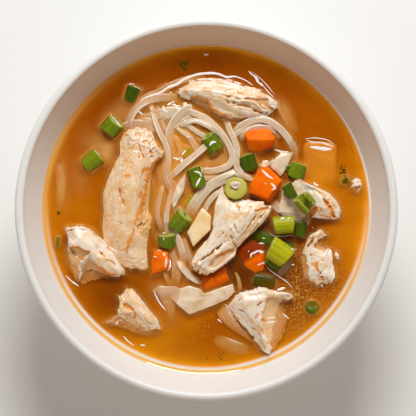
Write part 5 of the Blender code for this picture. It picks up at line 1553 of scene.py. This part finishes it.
# Width in millimetres, then the line's corners.
GLINTS = [
    # Where the broth climbs over the outermost noodles and the back slice.
    (1.15, [(-29.8, 48.2), (-27.8, 50), (-23.7, 51.5), (-20.6, 52.5), (-17.5, 54.6), (-13.4, 56.2),
            (-9.8, 58.6), (-5.9, 60.1), (-2.9, 60.8), (1.8, 61.2), (4.9, 60.9), (7.2, 60.1), (9.0, 59.4),
            (10.4, 59.5), (12.6, 59.7), (15.2, 59.0), (18.2, 57.6), (20.8, 55.8)]),
    (0.7, [(19.0, 62.2), (20, 61), (21.2, 60)]), (1.3, [(21, 60.3), (22.4, 59), (23, 57.6), (23.6, 56.6)]),
    (1.0, [(23.4, 56.9), (24.6, 56.2), (25.6, 55.2)]), (0.4, [(25.2, 55.8), (27.6, 53), (30.2, 50.2)]),
    (0.3, [(20.6, 61.8), (24, 59), (27, 56), (30.6, 51.6)]),
    (0.45, [(-1.4, 70), (-0.2, 69.4), (1.2, 69.8)]),
    # Among the noodles.
    (1.2, [(-17.6, 46.8), (-15.4, 48)]), (0.8, [(-15.2, 47.8), (-13.4, 46.2), (-12.3, 44.6)]),
    (0.8, [(-19.3, 46.6), (-19.1, 44.7), (-17.4, 43.7)]), (0.7, [(-30.9, 44.3), (-28.6, 42.5)]),
    (0.7, [(-9.2, 38.5), (-7.4, 39.5), (-5.2, 39.9), (-3, 39.5), (-0.2, 38.2), (2.4, 36.7)]),
    (0.9, [(-15, 23.3), (-12.8, 22.6), (-10.8, 22.8)]), (0.7, [(-10.8, 22.7), (-11.3, 21)]),
    (0.9, [(-11, 24.4), (-9.3, 26.6)]), (0.8, [(-8.6, 33), (-7.8, 32.2)]),
    (0.5, [(13.4, 38.2), (17.2, 39.8), (21, 41), (25, 41.2), (29, 40.3), (32.4, 38.2)]),
    (0.4, [(17.2, 34.6), (20, 36.9), (24, 37.9), (28, 37.7)]),
    (0.35, [(-24.6, 43.6), (-23.4, 39), (-21.6, 34.2), (-19.6, 29.6)]),
    (0.35, [(-0.6, 27), (-3.6, 24.4), (-8, 20.6), (-12, 17)]),
    # On the carrots.
    (0.95, [(24.8, 17.6), (26.6, 15.8), (28.2, 14.5), (29.9, 13.6)]),
    (0.9, [(28.7, 11.8), (30.1, 10.5), (30.7, 9.5), (29.2, 8.6)]), (0.6, [(26.3, 11.9), (26.5, 11.2)]),
    (0.9, [(30.5, 26.9), (33.8, 25.9), (36.9, 25.8)]),
    (0.8, [(-19.4, -19.6), (-18.6, -21)]), (0.9, [(-17.9, -21.5), (-18.1, -23.9), (-18.6, -26.3)]),
    (1.1, [(-16.5, -22.4), (-16.4, -25.2), (-17.3, -27.6)]), (0.5, [(-23.8, -21.1), (-22.1, -21.4)]),
    (1.1, [(19.8, -21.6), (20.2, -20.1), (22.2, -19.1), (23.4, -18.3)]),
    (1.2, [(23.2, -18.5), (24.6, -19.1), (26, -18.9)]), (0.8, [(22.8, -25), (24.8, -24.2), (26.4, -24)]),
    (0.5, [(18.8, -18.4), (18.9, -19.2)]),
    # On the spring onion.
    (1.0, [(1.3, 28.4), (2.6, 30), (4.4, 30.1)]), (0.7, [(-0.4, 31.9), (0.3, 31.6)]),
    (0.9, [(-5.6, 17), (-3.3, 16.4), (-2.1, 14.5)]), (1.1, [(-2.7, 14.1), (-3.8, 12.1), (-4.7, 10.2)]),
    (0.5, [(-2.1, 18.1), (-2.3, 16.2)]),
    (1.2, [(33, -4.3), (35, -4)]), (0.7, [(35.9, -4.6), (37.5, -3.7)]), (0.8, [(46.3, 2), (47.9, 3)]),
    (0.5, [(-19.8, -10.6), (-18.2, -10.5)]), (0.45, [(-19.2, -11.9), (-19.2, -13.9)]),
    (0.9, [(30.1, -14.2), (30.6, -14.4)]), (0.6, [(23.4, -15.2), (26, -15.4)]), (0.4, [(25, -12.9), (26.5, -13)]),
    (0.45, [(-32.6, 55.4), (-29.4, 53.6)]), (0.6, [(-42.4, 41.6), (-38.4, 37)]),
    (0.6, [(-50.6, 26.4), (-47.6, 24.4)]), (0.5, [(-15, 1.6), (-13.2, 3.4)]),
    # Round the right-hand slice, the sunken potato and the far crumb.
    (1.0, [(48.2, 12.3), (48.9, 11.2), (50.4, 10.7)]), (1.2, [(65.4, 12.4), (67.4, 13.3), (69.4, 12.6)]),
    (0.65, [(44.9, 31.2), (47.7, 30.2), (51.8, 30), (54.9, 28.9), (57.2, 28.1)]),
    (1.7, [(46.4, 28.1), (49.8, 27.6), (53.4, 27.1), (56.4, 27.1)]),
    (0.4, [(44.1, 31.6), (48.7, 32.1), (53.9, 31.3), (57.2, 29.5)]),
    (0.4, [(28, -10.3), (29.6, -11.6), (32.7, -12.1), (38.8, -11.7)]),
    (0.8, [(37.5, -18), (40.5, -17.9)]), (0.8, [(36.1, -15.6), (36.4, -15.9)]), (0.9, [(38.1, -24.9), (39.6, -24.9)]),
    (0.4, [(27.2, -25.8), (29, -27.7), (32.6, -30.2), (36, -32.5), (38.8, -35.5)]),
    # Round the left-hand pieces.
    (0.8, [(-43.9, -16.6), (-41.8, -18), (-39.8, -18.9)]), (0.6, [(-46.8, -13.8), (-46.2, -14.3)]),
    (0.65, [(-63.3, -29.6), (-60.5, -32.3), (-57.2, -34.6)]), (0.7, [(-38.2, -38.2), (-36.6, -41)]),
    (0.6, [(-40.8, -51.8), (-39.6, -50.1)]), (0.8, [(-44.8, -50.6), (-44.4, -50.9)]),
    (0.6, [(-37.3, -57), (-35.3, -59.2), (-32.4, -61.3)]), (0.6, [(-29.8, -61), (-27.4, -61.2)]),
    (0.7, [(-23.8, -36.1), (-21.6, -41), (-18.3, -45.5)]), (0.7, [(-21.2, -46.3), (-20.9, -46.6)]),
    # Round the front pieces.
    (1.2, [(31.7, -36.3), (35.4, -35.2)]), (0.6, [(27.4, -48.8), (31.1, -48.5)]),
    (0.6, [(26.6, -51.1), (31.4, -50.2)]), (0.6, [(31.8, -41.6), (34, -41.3)]),
    (0.6, [(34.3, -46.9), (37.1, -49.2)]), (0.6, [(8.6, -42.7), (10.8, -45.7)]),
    (0.55, [(4.9, -49.2), (6.8, -50.9)]), (0.5, [(11.2, -24.7), (11.6, -24.8)]),
    (0.7, [(45.6, -22.2), (46.6, -23.8)]), (0.6, [(51.4, -33.4), (52.2, -35)]),
]
# Near-white glossy strips: painted highlights.
wet_and_painted_glint = Finish("wet_glint", Roughness=0.12, Coat_Weight=1.0, Coat_Roughness=0.05)
wet_and_painted_glint.feed(Base_Color=wet_and_painted_glint.colour((0.95, 0.90, 0.83), (1.0, 0.985, 0.97), wet_and_painted_glint.noise(600.0)),
         Alpha=(1.02 - wet_and_painted_glint.between(wet_and_painted_glint.attribute("across") * wet_and_painted_glint.attribute("across"), 0.5, 1.0) * 0.4).clamped())
glint_lines, glint_girths = [], []
for width, corners in GLINTS:
    if len(corners) == 2:
        corners = [corners[0], tuple((np.array(corners[0]) + corners[1]) / 2 + (0.05, 0.05)), corners[1]]
    line = smooth_path([(x, y, 0) for x, y in corners], 0.3)
    heights = np.array([top_at(x, y) for x, y, _ in line])
    heights = np.convolve(np.pad(heights, 2, mode="edge"), np.full(5, 0.2), "valid")
    line[:, 2] = heights + 0.05
    glint_lines.append(line * MM)
    share = np.linspace(0, 1, len(line))
    wander = 1 + 0.25 * table_noise(line, (2.5, 2.5, 2.5), 61)
    glint_girths.append(width * wander * (0.15 + 0.85 * np.sin(pi * share) ** 0.6))
level_leans = [np.zeros(len(line)) for line in glint_lines]
glints = swept_mesh("wet_glints", glint_lines, ribbon_tree("glint_sweep", wet_and_painted_glint.material), glint_girths,
                    level_leans, Width=1.0 * MM, Thickness=0.22 * MM, Flutes=0.0)
new_piece("wet_glints", glints, wet_and_painted_glint.material, "broth").visible_shadow = False

def scatter_tree(name, finish_material, ball_detail):
    """Geometry Nodes that set a small rounded scrap on each point, sized by the point's own values."""
    tree = bpy.data.node_groups.new(name, "GeometryNodeTree")
    face = tree.interface
    face.new_socket("Places", in_out="INPUT", socket_type="NodeSocketGeometry")
    face.new_socket("Roughen", in_out="INPUT", socket_type="NodeSocketFloat").default_value = 0.0
    face.new_socket("Scraps", in_out="OUTPUT", socket_type="NodeSocketGeometry")
    nodes, links = tree.nodes, tree.links
    given = nodes.new("NodeGroupInput").outputs
    points = nodes.new("GeometryNodeMeshToPoints")
    ball = nodes.new("GeometryNodeMeshIcoSphere")
    ball.inputs["Radius"].default_value = 1.0
    ball.inputs["Subdivisions"].default_value = ball_detail
    size = nodes.new("GeometryNodeInputNamedAttribute")
    size.data_type = "FLOAT_VECTOR"
    size.inputs["Name"].default_value = "size"
    turn = nodes.new("FunctionNodeRandomValue")
    turn.data_type = "FLOAT_VECTOR"
    turn.inputs[1].default_value = (0.5, 0.5, 6.28)
    turn.inputs["Seed"].default_value = 5
    placed = nodes.new("GeometryNodeInstanceOnPoints")
    real = nodes.new("GeometryNodeRealizeInstances")
    rough = nodes.new("ShaderNodeTexNoise")
    rough.inputs["Scale"].default_value = 900.0
    centred = nodes.new("ShaderNodeVectorMath")
    centred.operation = "SUBTRACT"
    centred.inputs[1].default_value = (0.5, 0.5, 0.5)
    scaled = nodes.new("ShaderNodeVectorMath")
    scaled.operation = "SCALE"
    moved = nodes.new("GeometryNodeSetPosition")
    finished = nodes.new("GeometryNodeSetMaterial")
    finished.inputs["Material"].default_value = finish_material
    links.new(given["Places"], points.inputs["Mesh"])
    links.new(points.outputs[0], placed.inputs["Points"])
    links.new(ball.outputs[0], placed.inputs["Instance"])
    links.new(turn.outputs[0], placed.inputs["Rotation"])
    links.new(size.outputs[0], placed.inputs["Scale"])
    links.new(placed.outputs[0], real.inputs[0])
    links.new(rough.outputs["Color"], centred.inputs[0])
    links.new(centred.outputs[0], scaled.inputs[0])
    links.new(given["Roughen"], scaled.inputs["Scale"])
    links.new(real.outputs[0], moved.inputs["Geometry"])
    links.new(scaled.outputs[0], moved.inputs["Offset"])
    links.new(moved.outputs[0], finished.inputs["Geometry"])
    links.new(finished.outputs[0], nodes.new("NodeGroupOutput").inputs[0])
    return tree


def scattered_mesh(name, places, sizes, tree, **inputs):
    """Runs a scattering tree over places in metres, with a size along each axis for every place."""
    mesh = bpy.data.meshes.new(name + "_places")
    mesh.from_pydata([tuple(place) for place in places], [], [])
    layer = mesh.attributes.new("size", "FLOAT_VECTOR", "POINT")
    layer.data.foreach_set("vector", np.asarray(sizes, np.float32).ravel())
    guide = bpy.data.objects.new(name + "_places", mesh)
    bpy.context.scene.collection.objects.link(guide)
    modifier = guide.modifiers.new("scatter", "NODES")
    modifier.node_group = tree
    for item in tree.interface.items_tree:
        if item.in_out == "INPUT" and item.name in inputs:
            modifier[item.identifier] = inputs[item.name]
    evaluated = guide.evaluated_get(bpy.context.evaluated_depsgraph_get())
    result = bpy.data.meshes.new_from_object(evaluated)
    result.name = name
    result.shade_smooth()
    bpy.data.objects.remove(guide)
    return result


fat = Finish("fat_drops", Roughness=0.06, Coat_Weight=1.0, Coat_Roughness=0.03)
fat.feed(Base_Color=fat.colour((0.50, 0.21, 0.02), (0.78, 0.43, 0.09), fat.noise(600.0)))
fat_rng = np.random.default_rng(77)
fat_places, fat_sizes = [], []
for x, y, wide, high, count, largest in ((42, -32, 7, 9, 560, 0.24), (43, -34, 9, 10, 90, 0.40),
                                         (-2, -52, 7, 6, 60, 0.30), (42, 36, 8, 7, 26, 0.26),
                                         (55, -22, 8, 12, 60, 0.3), (0, 0, 50, 50, 60, 0.26)):
    for _ in range(count):
        px, py = fat_rng.normal((x, y), (wide, high))
        if hypot(px, py) > 68 or abs(top_at(px, py) - level_mm) > 0.8:
            continue
        size = largest * fat_rng.uniform(0.35, 1.0) ** 1.5
        fat_places.append((px * MM, py * MM, (top_at(px, py) + 0.02) * MM))
        fat_sizes.append((size * MM, size * fat_rng.uniform(0.7, 1.0) * MM, 0.28 * size * MM))
fat_mesh = scattered_mesh("fat_drops", fat_places, fat_sizes, scatter_tree("fat_scatter", fat.material, 2))
new_piece("fat_drops", fat_mesh, fat.material, "broth").visible_shadow = False

# White crumbs. Shreds and a small square scrap of meat among the noodles at the back.
crumb_places, crumb_sizes = [], []
for x, y, count, spread, scrap in ((-9.7, 47.1, 1, 0.05, 1.15), (-16.2, 47.4, 2, 0.8, 0.7),
                                   (-11.6, 22.2, 2, 0.5, 0.5), (25.2, 19.6, 1, 0.3, 0.8),
                                   (12.6, 4.6, 2, 0.5, 0.4)):
    for _ in range(count):
        px, py = fat_rng.normal((x, y), spread)
        crumb_places.append((px * MM, py * MM, (top_at(px, py) + 0.35 * scrap) * MM))
        crumb_sizes.append((scrap * MM, scrap * 0.85 * MM, scrap * 0.6 * MM))
crumb_mesh = scattered_mesh("white_crumbs", crumb_places, crumb_sizes,
                            scatter_tree("crumb_scatter", flesh.material, 3), Roughen=0.5 * MM)
for value_name, value in (("warm", 0.1), ("cleft", 0.0), ("oil", 0.0), ("tan", 0.0), ("tear", 0.0),
                          ("thread", 0.3)):
    if value_name not in crumb_mesh.attributes:
        layer = crumb_mesh.attributes.new(value_name, "FLOAT", "POINT")
        layer.data.foreach_set("value", np.full(len(crumb_mesh.vertices), value, np.float32))
new_piece("white_crumbs", crumb_mesh, flesh.material, "chicken")

# Chopped herb. Flecks and two little clumps that float on the broth and lie on the carrots.
herb = Finish("chopped_herb", Roughness=0.85, Specular_IOR_Level=0.03)
herb_colour = herb.colour((0.060, 0.040, 0.001), (0.15, 0.105, 0.003), herb.noise(700.0))
herb.feed(Base_Color=herb_colour)
herb_rng = np.random.default_rng(41)
herb_places, herb_sizes = [], []
for x, y, count, spread, scrap in (
        (-10.0, 65.0, 46, 2.4, 0.75), (61.0, 17.6, 18, 1.9, 0.8), (62.4, 13.2, 6, 1.4, 0.7),
        (-66.4, -1.6, 6, 0.8, 0.8), (22.6, -13.2, 14, 2.2, 0.8), (-43.0, 47.0, 2, 0.4, 0.4),
        (-39.5, 46.5, 2, 0.4, 0.4), (55.0, 41.5, 2, 0.5, 0.3), (47.5, 37.0, 3, 0.6, 0.35),
        (39.2, 35.3, 3, 0.6, 0.3), (44.0, 34.4, 2, 0.3, 0.45), (41.0, 30.1, 3, 0.6, 0.4),
        (39.8, 31.7, 2, 0.3, 0.35), (65.2, 27.3, 2, 0.4, 0.45), (66.1, 26.0, 1, 0.2, 0.4),
        (6.0, -65.5, 7, 1.4, 0.6), (1.0, -66.6, 3, 0.7, 0.4), (-2.0, 67.0, 3, 0.7, 0.4),
        (61.6, 16.9, 3, 0.5, 0.5), (63.8, 11.2, 2, 0.3, 0.5), (4.2, 66.0, 3, 1.0, 0.35)):
    for _ in range(count):
        dx, dy = herb_rng.normal(0, spread * 0.55, 2)
        sunk_by = 0.06 - herb_rng.uniform(-0.2, 0.1) * 0.4
        herb_places.append(((x + dx) * MM, (y + dy) * MM, (top_at(x + dx, y + dy) - sunk_by) * MM))
        size = scrap * herb_rng.uniform(0.6, 1.25)
        herb_sizes.append((size * MM, size * herb_rng.uniform(0.35, 0.8) * MM, 0.16 * MM))
herb_mesh = scattered_mesh("herb_scraps", herb_places, herb_sizes, scatter_tree("herb_scatter", herb.material, 2),
                           Roughen=0.5 * MM)
new_piece("herb_scraps", herb_mesh, herb.material, "spring_onion")

size = {"cad": [list(corner) for corner in cad_box], "visual": [list(corner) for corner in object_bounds()]}
